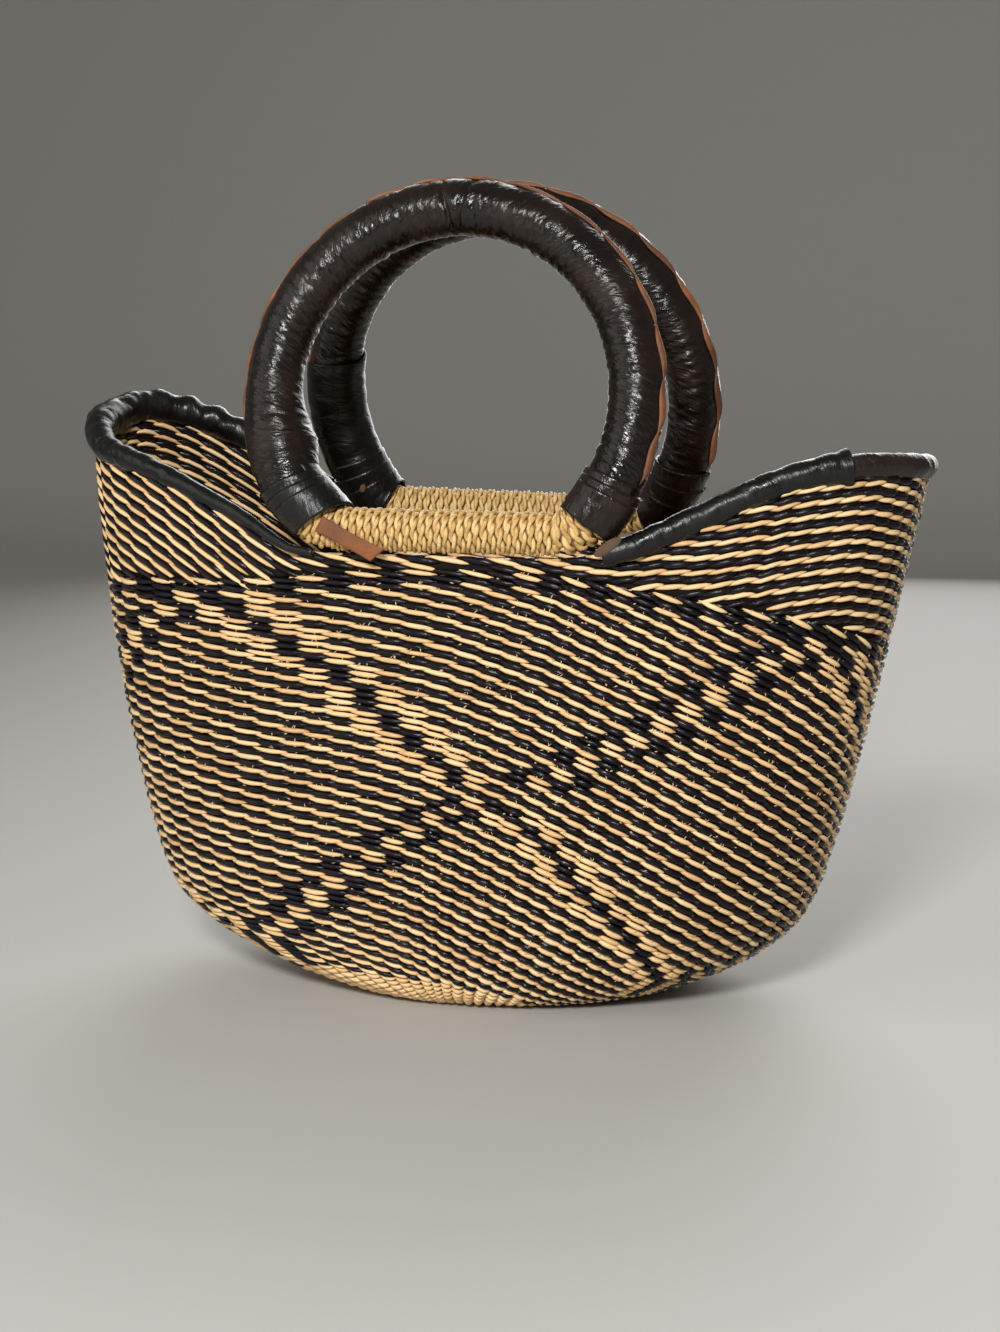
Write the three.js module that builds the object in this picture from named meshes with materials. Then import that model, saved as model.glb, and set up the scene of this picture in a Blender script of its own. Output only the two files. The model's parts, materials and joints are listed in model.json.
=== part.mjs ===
// A straw handbag: an oval twined basket whose two ends rise into wings, leather-bound rims on the
// wings, and two leather-covered ring handles whose straight lower bars turn in lashings of straw cord.
// Millimetres, +Z up, +X along the mouth, -Y to the front. The origin is the middle of the underside.
import * as THREE from "three";

// Basket shell
const FOOT_HALF_WIDTH = 114.5;
const LEFT_CORNER_REACH = 60;
const RIGHT_CORNER_REACH = 40;
const CORNER_HEIGHT = 50;
const BASE_HALF_DEPTH = 51;
const TIP_HALF_WIDTH = 192.5;
const TIP_HALF_DEPTH = 59;
const TIP_HEIGHT = 263;
const BELLY_BULGE = 72;
const BASE_SQUARENESS = 2.1;
const MOUTH_SQUARENESS = 2.8;
const BASE_SHIFT = -5.4;
const TIP_LEAN = 9;
const WALL = 6;
const WEAVE_JOIN_GAP = 0.3;
const BASE_TURN_UP = 10;
const BASE_TURN_UP_SLOPE = 0.06;

// Mouth: level under the bars, climbing to the wing tips
const BAR_HEIGHT = 203;
const LEFT_TIP_RISE = 40;
const RIGHT_TIP_RISE = 22;
const LEFT_JOIN_DROP = 16;
const RIGHT_JOIN_DROP = 36;
const BACK_LEFT_SWELL = 10;
const FRONT_LEFT_SWELL = -7;
const FRONT_RIGHT_SWELL = 5;
const FRONT_CLIMB_START = THREE.MathUtils.degToRad(17);
const BACK_CLIMB_START = THREE.MathUtils.degToRad(22);
const WING_SET_BACK = THREE.MathUtils.degToRad(1.5);
const BINDING_SET_BACK = THREE.MathUtils.degToRad(7);

// Leather and straw sections
const LEATHER = 1.8;
const SEAT_GAP = 0.3;
const RIM_CORE_RADIUS = 3.1;
const BINDING_LEG = 4.5;
const BINDING_LAP_ANGLE = THREE.MathUtils.degToRad(58);
const BINDING_BUTT_GAP = 0.6;

// Ring handles
const BAR_HALF_SPAN = 63.5;
const FRONT_OFFSET = -3.4;
const BACK_OFFSET = -8.4;
const RING_CENTRE_RISE = 55;
const FRONT_RING_RADIUS = 79;
const BACK_RING_RADIUS = 85;
const FRONT_LEAN = THREE.MathUtils.degToRad(10);
const BACK_LEAN = THREE.MathUtils.degToRad(15);
const BAR_BEND_RADIUS = 18;
const BAR_RADIUS = 6.5;
const GRIP_CORE_RADIUS = 10.4;
const COLLAR_LEATHER = 1.8;
const LACE_WIDE = 3.4;
const LACE_NARROW = 2;
const LACE_THICKNESS = 2.2;
const PATCH_LEATHER = 1.4;

// Straw lashing round each bar
const LASHING_TURNS = 21;
const LASHING_CORD_RADIUS = 1.8;
const LASHING_CLEARANCE = 0.55;
const LASHING_END_GAP = 0.6;
const LASHING_LAST_TURN = 0.75;

// Loose end of the thong that ties the front left collar
const THONG_LENGTH = 25;
const THONG_WIDTH = 7;
const THONG_THICKNESS = 1.6;
const THONG_SLOPE = THREE.MathUtils.degToRad(-24);

// Facet counts
const WALL_ROWS = 8;
const ROW_CROWDING = 1.8;
const WING_COLUMNS = 16;
const WING_ROWS = 4;
const RING_SIDES = 10;
const RING_ARC_STEPS = 32;
const BEND_STEPS = 3;
const CORD_SIDES = 5;
const STEPS_PER_TURN = 12;

const LASHING_INNER = BAR_RADIUS + LASHING_CLEARANCE;
const LASHING_OUTER = LASHING_INNER + 2 * LASHING_CORD_RADIUS;
const LEVEL_RIM = BAR_HEIGHT - LASHING_OUTER - SEAT_GAP;

const strawPale = new THREE.MeshStandardMaterial({ color: 0xd9b780, roughness: 0.6, metalness: 0 });
const strawStriped = new THREE.MeshStandardMaterial({ color: 0x7d6649, roughness: 0.6, metalness: 0 });
const strawCore = new THREE.MeshStandardMaterial({ color: 0xb9975f, roughness: 0.8, metalness: 0 });
const rimLeather = new THREE.MeshStandardMaterial({ color: 0x1d1b1b, roughness: 0.45, metalness: 0 });
const gripLeather = new THREE.MeshStandardMaterial({ color: 0x2b201c, roughness: 0.35, metalness: 0 });
const tanLeather = new THREE.MeshStandardMaterial({ color: 0xa8683a, roughness: 0.6, metalness: 0 });

// Lofts

function centreOf(ring) {
  return ring.reduce((sum, p) => sum.add(p), new THREE.Vector3()).divideScalar(ring.length);
}

function signedVolume(points, index) {
  let sixfold = 0;
  for (let i = 0; i < index.length; i += 3) {
    const [a, b, c] = [points[index[i]], points[index[i + 1]], points[index[i + 2]]];
    sixfold += a.dot(new THREE.Vector3().crossVectors(b, c));
  }
  return sixfold / 6;
}

// Triangles over a ring's own outline, each with its corners in the ring's order.
function capTriangles(ring) {
  const centre = centreOf(ring);
  const spokes = ring.map((p) => new THREE.Vector3().subVectors(p, centre));
  const normal = new THREE.Vector3();
  spokes.forEach((s, j) => normal.add(s.clone().cross(spokes[(j + 1) % spokes.length])));
  const along = normal.cross(spokes[0]).normalize();
  const across = new THREE.Vector3().copy(spokes[0]).normalize();
  const flat = spokes.map((s) => new THREE.Vector2(s.dot(across), s.dot(along)));
  return THREE.ShapeUtils.triangulateShape(flat, []).map((t) => t.toSorted((p, q) => p - q));
}

// A closed body through rings of equally many points: joined end to end, or capped at both ends.
function loft(rings, joined = false) {
  const sides = rings[0].length;
  const points = rings.flat();
  const index = [];
  const spans = joined ? rings.length : rings.length - 1;
  for (let i = 0; i < spans; i++) {
    const low = i * sides;
    const high = ((i + 1) % rings.length) * sides;
    for (let j = 0; j < sides; j++) {
      const next = (j + 1) % sides;
      index.push(low + j, low + next, high + next, low + j, high + next, high + j);
    }
  }
  if (!joined) {
    const top = (rings.length - 1) * sides;
    capTriangles(rings[0]).forEach(([a, b, c]) => index.push(a, c, b));
    capTriangles(rings.at(-1)).forEach(([a, b, c]) => index.push(top + a, top + b, top + c));
  }
  if (signedVolume(points, index) < 0) index.reverse();
  return new THREE.BufferGeometry().setFromPoints(points).setIndex(index);
}

// Rings of a section set square to a line of points. `upAt` steers the section's second axis.
function sweepRings(line, upAt, sectionAt, closed = false) {
  const count = line.length;
  return line.map((point, i) => {
    const before = closed ? line[(i + count - 1) % count] : line[Math.max(i - 1, 0)];
    const after = closed ? line[(i + 1) % count] : line[Math.min(i + 1, count - 1)];
    const tangent = new THREE.Vector3().subVectors(after, before).normalize();
    const side = new THREE.Vector3().crossVectors(tangent, upAt(i)).normalize();
    const up = new THREE.Vector3().crossVectors(side, tangent);
    return sectionAt(i).map(([u, v]) => point.clone().addScaledVector(side, u).addScaledVector(up, v));
  });
}

// A round section with a flat of its outline, not a corner, on each axis direction.
function roundSection(radius, sides) {
  return Array.from({ length: sides }, (_, j) => {
    const angle = ((j + 0.5) / sides) * 2 * Math.PI;
    return [radius * Math.cos(angle), radius * Math.sin(angle)];
  });
}

function solid(name, geometry, material) {
  const mesh = new THREE.Mesh(geometry, material);
  mesh.name = name;
  return mesh;
}

// Basket surface

function signedPower(value, power) {
  return Math.sign(value) * Math.abs(value) ** power;
}

// The outside of the weave at a height, by angle round the bag: 0 at the right end, -90 degrees in front.
// The ends flare from the foot to the tips, and a corner is rounded off where they meet the base.
function outside(angle, height) {
  const t = Math.max(height, 0) / TIP_HEIGHT;
  const reach = Math.cos(angle) < 0 ? LEFT_CORNER_REACH : RIGHT_CORNER_REACH;
  const corner = reach * Math.max(1 - height / CORNER_HEIGHT, 0) ** 2.6;
  const halfWidth = THREE.MathUtils.lerp(FOOT_HALF_WIDTH, TIP_HALF_WIDTH, t ** 0.47) - corner;
  const straight = THREE.MathUtils.lerp(BASE_HALF_DEPTH, TIP_HALF_DEPTH, t);
  const halfDepth = straight + BELLY_BULGE * t ** 0.36 * Math.max(1 - t, 0) ** 1.5;
  const power = 2 / THREE.MathUtils.lerp(BASE_SQUARENESS, MOUTH_SQUARENESS, t);
  return new THREE.Vector3(
    BASE_SHIFT + TIP_LEAN * t ** 3 + halfWidth * signedPower(Math.cos(angle), power),
    halfDepth * signedPower(Math.sin(angle), power),
    height,
  );
}

// Directions on the wall: up along the weave, and out of it.
function wallFrame(angle, height) {
  const step = 0.5;
  const turn = 0.01;
  const base = Math.max(height, step);
  const up = outside(angle, base + step).sub(outside(angle, base - step)).normalize();
  const round = outside(angle + turn, base).sub(outside(angle - turn, base));
  return { up, out: round.cross(up).normalize() };
}

function inside(angle, height, depth = WALL) {
  return outside(angle, height).addScaledVector(wallFrame(angle, height).out, -depth);
}

// How far round from the middle of the front or back face towards an end, as an angle of 0 to 90 degrees.
function awayFromBar(angle) {
  return Math.abs(Math.asin(Math.cos(angle)));
}

function climbStart(angle) {
  return Math.sin(angle) > 0 ? BACK_CLIMB_START : FRONT_CLIMB_START;
}

function climbShare(angle) {
  const start = climbStart(angle);
  return Math.max((awayFromBar(angle) - start) / (Math.PI / 2 - start), 0);
}

function climb(angle) {
  return Math.sin((climbShare(angle) * Math.PI) / 2) ** 0.5;
}

// Height of the mouth's edge. Two of the four quarters swell above the plain climb and one sags below it.
function rimHeight(angle) {
  const left = Math.cos(angle) < 0;
  const back = Math.sin(angle) > 0;
  const tip = BAR_HEIGHT + (left ? LEFT_TIP_RISE : RIGHT_TIP_RISE);
  const leftSwell = back ? BACK_LEFT_SWELL : FRONT_LEFT_SWELL;
  const rightSwell = back ? 0 : FRONT_RIGHT_SWELL;
  const swell = left ? leftSwell : rightSwell;
  return LEVEL_RIM + (tip - LEVEL_RIM) * climb(angle) + swell * Math.sin(Math.PI * climbShare(angle));
}

// Height of the line where the body weave stops and the short rows of a wing start.
function joinHeight(angle) {
  const drop = Math.cos(angle) < 0 ? LEFT_JOIN_DROP : RIGHT_JOIN_DROP;
  return LEVEL_RIM - drop * climb(angle);
}

function turnUpHeight(angle) {
  const x = outside(angle, BASE_TURN_UP).x;
  return BASE_TURN_UP - BASE_TURN_UP_SLOPE * x;
}

const FRONT = -Math.PI / 2;
const BACK_BY_RIGHT = Math.PI / 2;
const BACK_BY_LEFT = (-3 * Math.PI) / 2;

// Angles along a wing's bound edge, from its start in front to its start at the back.
function boundAngles(front, back) {
  const turn = Math.sign(back - front);
  const from = front + turn * (FRONT_CLIMB_START + BINDING_SET_BACK);
  const to = back - turn * (BACK_CLIMB_START + BINDING_SET_BACK);
  return Array.from({ length: WING_COLUMNS + 1 }, (_, i) => THREE.MathUtils.lerp(from, to, i / WING_COLUMNS));
}

// The wing itself reaches a little further at both ends, under the collars.
function wingAngles(front, back) {
  const turn = Math.sign(back - front);
  const from = front + turn * (FRONT_CLIMB_START + WING_SET_BACK);
  const to = back - turn * (BACK_CLIMB_START + WING_SET_BACK);
  return [from, ...boundAngles(front, back), to];
}

// Angles under a bar, where the mouth is level.
function levelAngles(middle, reach) {
  return [-1, -0.5, 0, 0.5, 1].map((share) => middle + share * reach);
}

const leftAngles = wingAngles(FRONT, BACK_BY_LEFT);
const rightAngles = wingAngles(FRONT, BACK_BY_RIGHT);
const roundAngles = [
  ...levelAngles(FRONT, FRONT_CLIMB_START),
  ...rightAngles,
  ...levelAngles(BACK_BY_RIGHT, BACK_CLIMB_START),
  ...leftAngles.toReversed().map((a) => a + 2 * Math.PI),
];

function ringOf(point) {
  return roundAngles.map(point);
}

// The flat underside, rounded up into the start of the wall.
function baseStart() {
  const shares = [0, 0.04, 0.2, 0.5, 1];
  const outer = shares.map((s) => ringOf((a) => outside(a, s * turnUpHeight(a))));
  const inner = shares.toReversed().map((s) => ringOf((a) => inside(a, s * turnUpHeight(a))));
  const floor = inner.at(-1).map((p) => p.clone().setZ(WALL));
  return loft([...outer, ...inner.slice(0, -1), floor]);
}

function bodyWall() {
  const heightAt = (a, share) => {
    const low = turnUpHeight(a) + WEAVE_JOIN_GAP;
    return THREE.MathUtils.lerp(low, joinHeight(a), share);
  };
  const shares = Array.from({ length: WALL_ROWS }, (_, i) => (i / (WALL_ROWS - 1)) ** ROW_CROWDING);
  const outer = shares.map((s) => ringOf((a) => outside(a, heightAt(a, s))));
  const inner = shares.toReversed().map((s) => ringOf((a) => inside(a, heightAt(a, s))));
  return loft([...outer, ...inner], true);
}

function wing(angles) {
  const shares = Array.from({ length: WING_ROWS }, (_, i) => i / (WING_ROWS - 1));
  const rings = angles.map((a) => {
    const low = joinHeight(a) + WEAVE_JOIN_GAP;
    const heights = shares.map((s) => THREE.MathUtils.lerp(low, rimHeight(a), s));
    const outer = heights.map((h) => outside(a, h));
    const inner = heights.toReversed().map((h) => inside(a, h));
    return [...outer, ...inner];
  });
  return loft(rings);
}

// Wing rims

// The line of the straw roll that lies on a wing's edge, square to that edge's own slope.
function rimLine(angles) {
  const edge = angles.map((a) => inside(a, rimHeight(a), WALL / 2));
  return edge.map((point, i) => {
    const before = edge[Math.max(i - 1, 0)];
    const after = edge[Math.min(i + 1, edge.length - 1)];
    const along = new THREE.Vector3().subVectors(after, before).normalize();
    const up = rimUp(angles)(i).projectOnPlane(along).normalize();
    return point.clone().addScaledVector(up, SEAT_GAP + RIM_CORE_RADIUS);
  });
}

function rimUp(angles) {
  return (i) => wallFrame(angles[i], rimHeight(angles[i])).up;
}

function rimCore(angles) {
  const section = roundSection(RIM_CORE_RADIUS, 8);
  return loft(sweepRings(rimLine(angles), rimUp(angles), () => section));
}

// Leather folded over the roll and down both faces of the weave, open below.
function bindingSection() {
  const hollow = RIM_CORE_RADIUS + SEAT_GAP;
  const skin = hollow + LEATHER;
  const arch = (radius) =>
    Array.from({ length: 7 }, (_, j) => {
      const angle = (j / 6) * Math.PI;
      return [radius * Math.cos(angle), radius * Math.sin(angle)];
    });
  const outer = [[skin, -BINDING_LEG], ...arch(skin), [-skin, -BINDING_LEG]];
  const inner = [[hollow, -BINDING_LEG], ...arch(hollow), [-hollow, -BINDING_LEG]];
  return [...outer, ...inner.reverse()];
}

function bindingRings(angles) {
  return sweepRings(rimLine(angles), rimUp(angles), bindingSection);
}

// An end ring drawn back towards the ring next to it.
function drawBack(ring, next, distance) {
  return ring.map((p, j) => p.clone().add(new THREE.Vector3().subVectors(next[j], p).setLength(distance)));
}

// Ring handles, drawn in their own plane: x along the bar, z up from the bar's axis

// Where the bend meets the bar and the big arc.
function ringCorners(radius) {
  const bendX = Math.sqrt((radius - BAR_BEND_RADIUS) ** 2 - (RING_CENTRE_RISE - BAR_BEND_RADIUS) ** 2);
  const arcStart = Math.atan2(BAR_BEND_RADIUS - RING_CENTRE_RISE, bendX);
  return { bendX, arcStart };
}

// Stations anticlockwise from the middle of the bar: bar end, bend, big arc, bend, bar end.
function ringStations(radius) {
  const { bendX, arcStart } = ringCorners(radius);
  const stations = [{ x: 0, z: 0, part: "bar" }];
  for (let i = 0; i < BEND_STEPS; i++) {
    const angle = THREE.MathUtils.lerp(-Math.PI / 2, arcStart, i / BEND_STEPS);
    stations.push({
      x: bendX + BAR_BEND_RADIUS * Math.cos(angle),
      z: BAR_BEND_RADIUS + BAR_BEND_RADIUS * Math.sin(angle),
      part: i === 0 ? "bar" : "bend",
    });
  }
  for (let i = 0; i <= RING_ARC_STEPS; i++) {
    const angle = THREE.MathUtils.lerp(arcStart, Math.PI - arcStart, i / RING_ARC_STEPS);
    stations.push({
      x: radius * Math.cos(angle),
      z: RING_CENTRE_RISE + radius * Math.sin(angle),
      part: i === 0 || i === RING_ARC_STEPS ? "bend" : "arc",
    });
  }
  const mirrored = stations.slice(1, 1 + BEND_STEPS).reverse();
  stations.push(...mirrored.map((s) => ({ ...s, x: -s.x })));
  return stations;
}

const FIRST_ARC = 1 + BEND_STEPS;
const LAST_ARC = FIRST_ARC + RING_ARC_STEPS;
const CORE_RADII = { bar: BAR_RADIUS, bend: BAR_RADIUS + 1, arc: GRIP_CORE_RADIUS };
const COVER_INNER = GRIP_CORE_RADIUS + SEAT_GAP;
const COVER_OUTER = COVER_INNER + LEATHER;
const COLLAR_INNER = COVER_OUTER + SEAT_GAP;
const COLLAR_OUTER = COLLAR_INNER + COLLAR_LEATHER;

// Section rings along part of a ring handle. The section's first axis points out of the ring.
function ringSweep(radius, from, to, sectionAt) {
  const all = ringStations(radius);
  const line = all.map((s) => new THREE.Vector3(s.x, 0, s.z));
  const rings = sweepRings(line, () => new THREE.Vector3(0, -1, 0), (i) => sectionAt(all[i], i), true);
  return rings.slice(from, to + 1);
}

function handleCore(radius) {
  const count = ringStations(radius).length;
  return loft(ringSweep(radius, 0, count, (s) => roundSection(CORE_RADII[s.part], RING_SIDES)), true);
}

function sleeve(radius, from, to, innerAt, outerAt) {
  const outer = ringSweep(radius, from, to, (s, i) => roundSection(outerAt(s, i), RING_SIDES));
  const inner = ringSweep(radius, from, to, (s, i) => roundSection(innerAt(s, i), RING_SIDES));
  return loft([...outer, ...inner.reverse()], true);
}

const COVER_FROM = FIRST_ARC + 1;
const COVER_TO = LAST_ARC - 1;

function handleCover(radius) {
  return sleeve(radius, COVER_FROM, COVER_TO, () => COVER_INNER, () => COVER_OUTER);
}

// A collar laps the end of the cover and tapers round the bend down to the bar.
function collar(radius, from, to) {
  const innerAt = (s) => (s.part === "arc" ? COLLAR_INNER : CORE_RADII[s.part] + SEAT_GAP);
  const tapered = { bar: LASHING_OUTER, bend: LASHING_OUTER + 1, arc: COLLAR_OUTER };
  return sleeve(radius, from, to, innerAt, (s) => tapered[s.part]);
}

// Scalloped lace along the outer edge of the cover, on the flat of its outline.
function handleLace(radius) {
  const foot = COVER_OUTER * Math.cos(Math.PI / RING_SIDES) + SEAT_GAP;
  const first = COVER_FROM + 2;
  const section = (s, i) => {
    const half = i % 2 === 0 ? LACE_WIDE : LACE_NARROW;
    const crown = foot + LACE_THICKNESS;
    return [[foot, -half], [crown, -half / 2], [crown, half / 2], [foot, half]];
  };
  return loft(ringSweep(radius, first, COVER_TO - 2, section));
}

// A smooth patch lapped over the inner face of the cover near a collar, clear of the lace.
function gripPatch(radius, from, to) {
  const hollow = COVER_OUTER + SEAT_GAP;
  const skin = hollow + PATCH_LEATHER;
  const reach = RING_SIDES - 4;
  const arc = (r) => roundSection(r, RING_SIDES).slice(2, 2 + reach + 1);
  return loft(ringSweep(radius, from, to, () => [...arc(skin), ...arc(hollow).reverse()]));
}

// Straw cord wound round a bar, from a tail that hangs inside the mouth to one tucked in under the bar.
function lashingLine(radius, inward) {
  const coil = LASHING_INNER + LASHING_CORD_RADIUS;
  const half = ringCorners(radius).bendX - LASHING_END_GAP - LASHING_CORD_RADIUS;
  const steps = (LASHING_TURNS + LASHING_LAST_TURN) * STEPS_PER_TURN;
  const wound = Array.from({ length: steps + 1 }, (_, i) => {
    const angle = (i / STEPS_PER_TURN) * 2 * Math.PI;
    const along = THREE.MathUtils.lerp(-half, half, i / steps);
    return new THREE.Vector3(along, inward * coil * Math.cos(angle), coil * Math.sin(angle));
  });
  const tail = 2 * LASHING_CORD_RADIUS;
  const hanging = wound[0].clone().add(new THREE.Vector3(0, 0, -tail));
  const tucked = wound[steps].clone().add(new THREE.Vector3(0, inward * tail, 0));
  return [hanging, ...wound, tucked];
}

// Least clear space between turns, measured between points of the line over half a turn apart.
function leastGap(line) {
  let least = Infinity;
  for (let i = 0; i < line.length; i++) {
    for (let j = i + STEPS_PER_TURN / 2; j < line.length; j++) {
      least = Math.min(least, line[i].distanceTo(line[j]) - 2 * LASHING_CORD_RADIUS);
    }
  }
  return least;
}

function lashing(name, radius, inward) {
  const line = lashingLine(radius, inward);
  console.log(`${name}: least gap between turns ${leastGap(line).toFixed(2)} mm`);
  const outFromBar = (i) => {
    const turn = line[THREE.MathUtils.clamp(i, 1, line.length - 2)];
    return new THREE.Vector3(0, turn.y, turn.z);
  };
  const section = roundSection(LASHING_CORD_RADIUS, CORD_SIDES);
  return solid(name, loft(sweepRings(line, outFromBar, () => section)), strawPale);
}

// The thong's loose end: a flat strip with a slanting cut, lying on the front of the lashing.
function thongEnd() {
  const outline = new THREE.Shape();
  outline.moveTo(0, -THONG_WIDTH / 2);
  outline.lineTo(THONG_LENGTH - THONG_WIDTH / 3, -THONG_WIDTH / 2);
  outline.lineTo(THONG_LENGTH, THONG_WIDTH / 2);
  outline.lineTo(0, THONG_WIDTH / 2);
  const strip = new THREE.ExtrudeGeometry(outline, { depth: THONG_THICKNESS, bevelEnabled: false });
  strip.rotateZ(THONG_SLOPE).rotateX(Math.PI / 2);
  const start = FRONT_OFFSET - ringCorners(FRONT_RING_RADIUS).bendX + THONG_WIDTH / 2;
  return strip.translate(start, -BAR_HALF_SPAN - LASHING_OUTER - SEAT_GAP, BAR_HEIGHT);
}

// Assembly

const bag = new THREE.Group();
bag.name = "straw_handbag";

bag.add(
  solid("base_start", baseStart(), strawPale),
  solid("body_wall", bodyWall(), strawStriped),
  solid("left_wing", wing(leftAngles), strawStriped),
  solid("right_wing", wing(rightAngles), strawStriped),
);

const leftBound = boundAngles(FRONT, BACK_BY_LEFT);
const rightBound = boundAngles(FRONT, BACK_BY_RIGHT);
const rightRings = bindingRings(rightBound);
const lap = rightBound.findIndex((a) => a - FRONT > BINDING_LAP_ANGLE);
const halfGap = BINDING_BUTT_GAP / 2;
const rightFront = [...rightRings.slice(0, lap), drawBack(rightRings[lap], rightRings[lap - 1], halfGap)];
const rightEnd = [drawBack(rightRings[lap], rightRings[lap + 1], halfGap), ...rightRings.slice(lap + 1)];

bag.add(
  solid("left_rim_core", rimCore(leftBound), strawCore),
  solid("right_rim_core", rimCore(rightBound), strawCore),
  solid("left_rim_binding", loft(bindingRings(leftBound)), rimLeather),
  solid("right_front_binding", loft(rightFront), rimLeather),
  solid("right_end_binding", loft(rightEnd), rimLeather),
  solid("front_thong_end", thongEnd(), tanLeather),
);

// One handle in its own plane, its lashing kept apart because that stays with the basket.
function handle(side, radius) {
  const group = new THREE.Group();
  group.add(
    solid(`${side}_handle_core`, handleCore(radius), strawCore),
    solid(`${side}_handle_cover`, handleCover(radius), gripLeather),
    solid(`${side}_handle_lace`, handleLace(radius), tanLeather),
    solid(`${side}_right_collar`, collar(radius, 1, FIRST_ARC + 2), rimLeather),
    solid(`${side}_left_collar`, collar(radius, LAST_ARC - 2, LAST_ARC + BEND_STEPS), rimLeather),
  );
  return group;
}

const frontHandle = handle("front", FRONT_RING_RADIUS);
frontHandle.position.set(FRONT_OFFSET, -BAR_HALF_SPAN, BAR_HEIGHT);
frontHandle.rotation.x = -FRONT_LEAN;

const backHandle = handle("back", BACK_RING_RADIUS);
backHandle.add(solid("back_grip_patch", gripPatch(BACK_RING_RADIUS, COVER_TO - 6, COVER_TO - 2), gripLeather));
backHandle.position.set(BACK_OFFSET, BAR_HALF_SPAN, BAR_HEIGHT);
backHandle.rotation.x = BACK_LEAN;

const frontLashing = lashing("front_bar_lashing", FRONT_RING_RADIUS, 1);
frontLashing.position.copy(frontHandle.position);
const backLashing = lashing("back_bar_lashing", BACK_RING_RADIUS, -1);
backLashing.position.copy(backHandle.position);

bag.add(frontHandle, backHandle, frontLashing, backLashing);

export default bag;
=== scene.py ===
# %% [markdown]
# # Dressing a twined straw handbag
# The solids already give the bag's size and its moving handles. This lesson covers them with what
# the eye looks for: thousands of twisted straw stitches, wound cord and creased leather.
# Lengths are written in millimetres, as a maker would, and turned into metres at the last step.

import json
import math

import bmesh
import bpy
import numpy as np
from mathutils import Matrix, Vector

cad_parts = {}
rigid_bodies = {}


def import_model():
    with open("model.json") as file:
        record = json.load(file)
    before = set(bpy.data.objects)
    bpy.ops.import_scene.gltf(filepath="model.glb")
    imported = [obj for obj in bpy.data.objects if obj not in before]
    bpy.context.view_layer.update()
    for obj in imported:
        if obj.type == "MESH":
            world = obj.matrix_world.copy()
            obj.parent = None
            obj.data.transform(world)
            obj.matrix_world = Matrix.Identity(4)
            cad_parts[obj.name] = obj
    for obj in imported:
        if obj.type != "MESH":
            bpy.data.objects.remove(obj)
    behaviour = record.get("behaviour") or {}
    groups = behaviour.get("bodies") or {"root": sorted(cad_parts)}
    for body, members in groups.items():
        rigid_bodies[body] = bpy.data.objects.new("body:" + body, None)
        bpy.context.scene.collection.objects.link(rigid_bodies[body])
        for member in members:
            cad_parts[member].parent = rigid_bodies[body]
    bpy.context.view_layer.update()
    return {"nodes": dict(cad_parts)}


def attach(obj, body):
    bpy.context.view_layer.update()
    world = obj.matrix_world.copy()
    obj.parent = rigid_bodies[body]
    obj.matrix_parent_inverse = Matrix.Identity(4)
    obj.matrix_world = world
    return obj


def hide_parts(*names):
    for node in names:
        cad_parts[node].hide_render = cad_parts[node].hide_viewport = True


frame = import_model()
MM = 0.001
FULL_TURN = 2 * math.pi
FRONT = -math.pi / 2
BACK = math.pi / 2
FRONT_AGAIN = 1.5 * math.pi
chance = np.random.default_rng(7)

# %% [markdown]
# ## The camera
# The viewpoint was found by laying the bag's outline over the photograph: a little to the right of
# the front, a little above, and about a metre away. A camera needs a place, a direction and a lens.

# %% Camera
SIGHT_POINT = Vector((0.0007, 0.0015, 0.138))
SIGHT_TURN = math.radians(17)
SIGHT_RISE = math.radians(7.5)
SIGHT_DISTANCE = 1.06
LENS = 64.86
SENSOR = 36

towards_eye = Vector((
    math.sin(SIGHT_TURN) * math.cos(SIGHT_RISE),
    -math.cos(SIGHT_TURN) * math.cos(SIGHT_RISE),
    math.sin(SIGHT_RISE),
))
eye = bpy.data.cameras.new("eye")
eye.lens = LENS
eye.sensor_width = SENSOR
eye_stand = bpy.data.objects.new("eye", eye)
eye_stand.location = SIGHT_POINT + towards_eye * SIGHT_DISTANCE
eye_stand.rotation_euler = towards_eye.to_track_quat("Z", "Y").to_euler()
bpy.context.collection.objects.link(eye_stand)
bpy.context.scene.camera = eye_stand
print("camera at", [round(c, 3) for c in eye_stand.location])

# %% [markdown]
# ## Colours and materials
# Colours are noted as they look on a screen, from 0 to 255. Shaders work with linear light, so one
# small function converts them. The others start a material and add nodes to it. An input is either
# a plain value, which is set, or another node's output, which is wired in.

# %% Colour and material helpers
def screen_colour(red, green, blue):
    def linear(value):
        value /= 255
        return value / 12.92 if value <= 0.04045 else ((value + 0.055) / 1.055) ** 2.4

    return (linear(red), linear(green), linear(blue), 1)


def feed(tree, sockets, values):
    for socket, value in zip(sockets, values):
        if isinstance(value, bpy.types.NodeSocket):
            tree.links.new(value, socket)
        else:
            socket.default_value = value


def set_inputs(tree, node, **inputs):
    feed(tree, [node.inputs[name.replace("_", " ")] for name in inputs], inputs.values())


def start_material(name):
    material = bpy.data.materials.new(name)
    material.use_nodes = True
    return material, material.node_tree, material.node_tree.nodes["Principled BSDF"]


def add_node(tree, kind, output, **inputs):
    node = tree.nodes.new(f"ShaderNode{kind}")
    set_inputs(tree, node, **inputs)
    return node.outputs[output]


def add_attribute(tree, name, output):
    attribute = add_node(tree, "Attribute", output)
    attribute.node.attribute_name = name
    return attribute


def add_math(tree, operation, *values):
    answer = add_node(tree, "Math", "Value")
    answer.node.operation = operation
    feed(tree, answer.node.inputs, values)
    return answer


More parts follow.
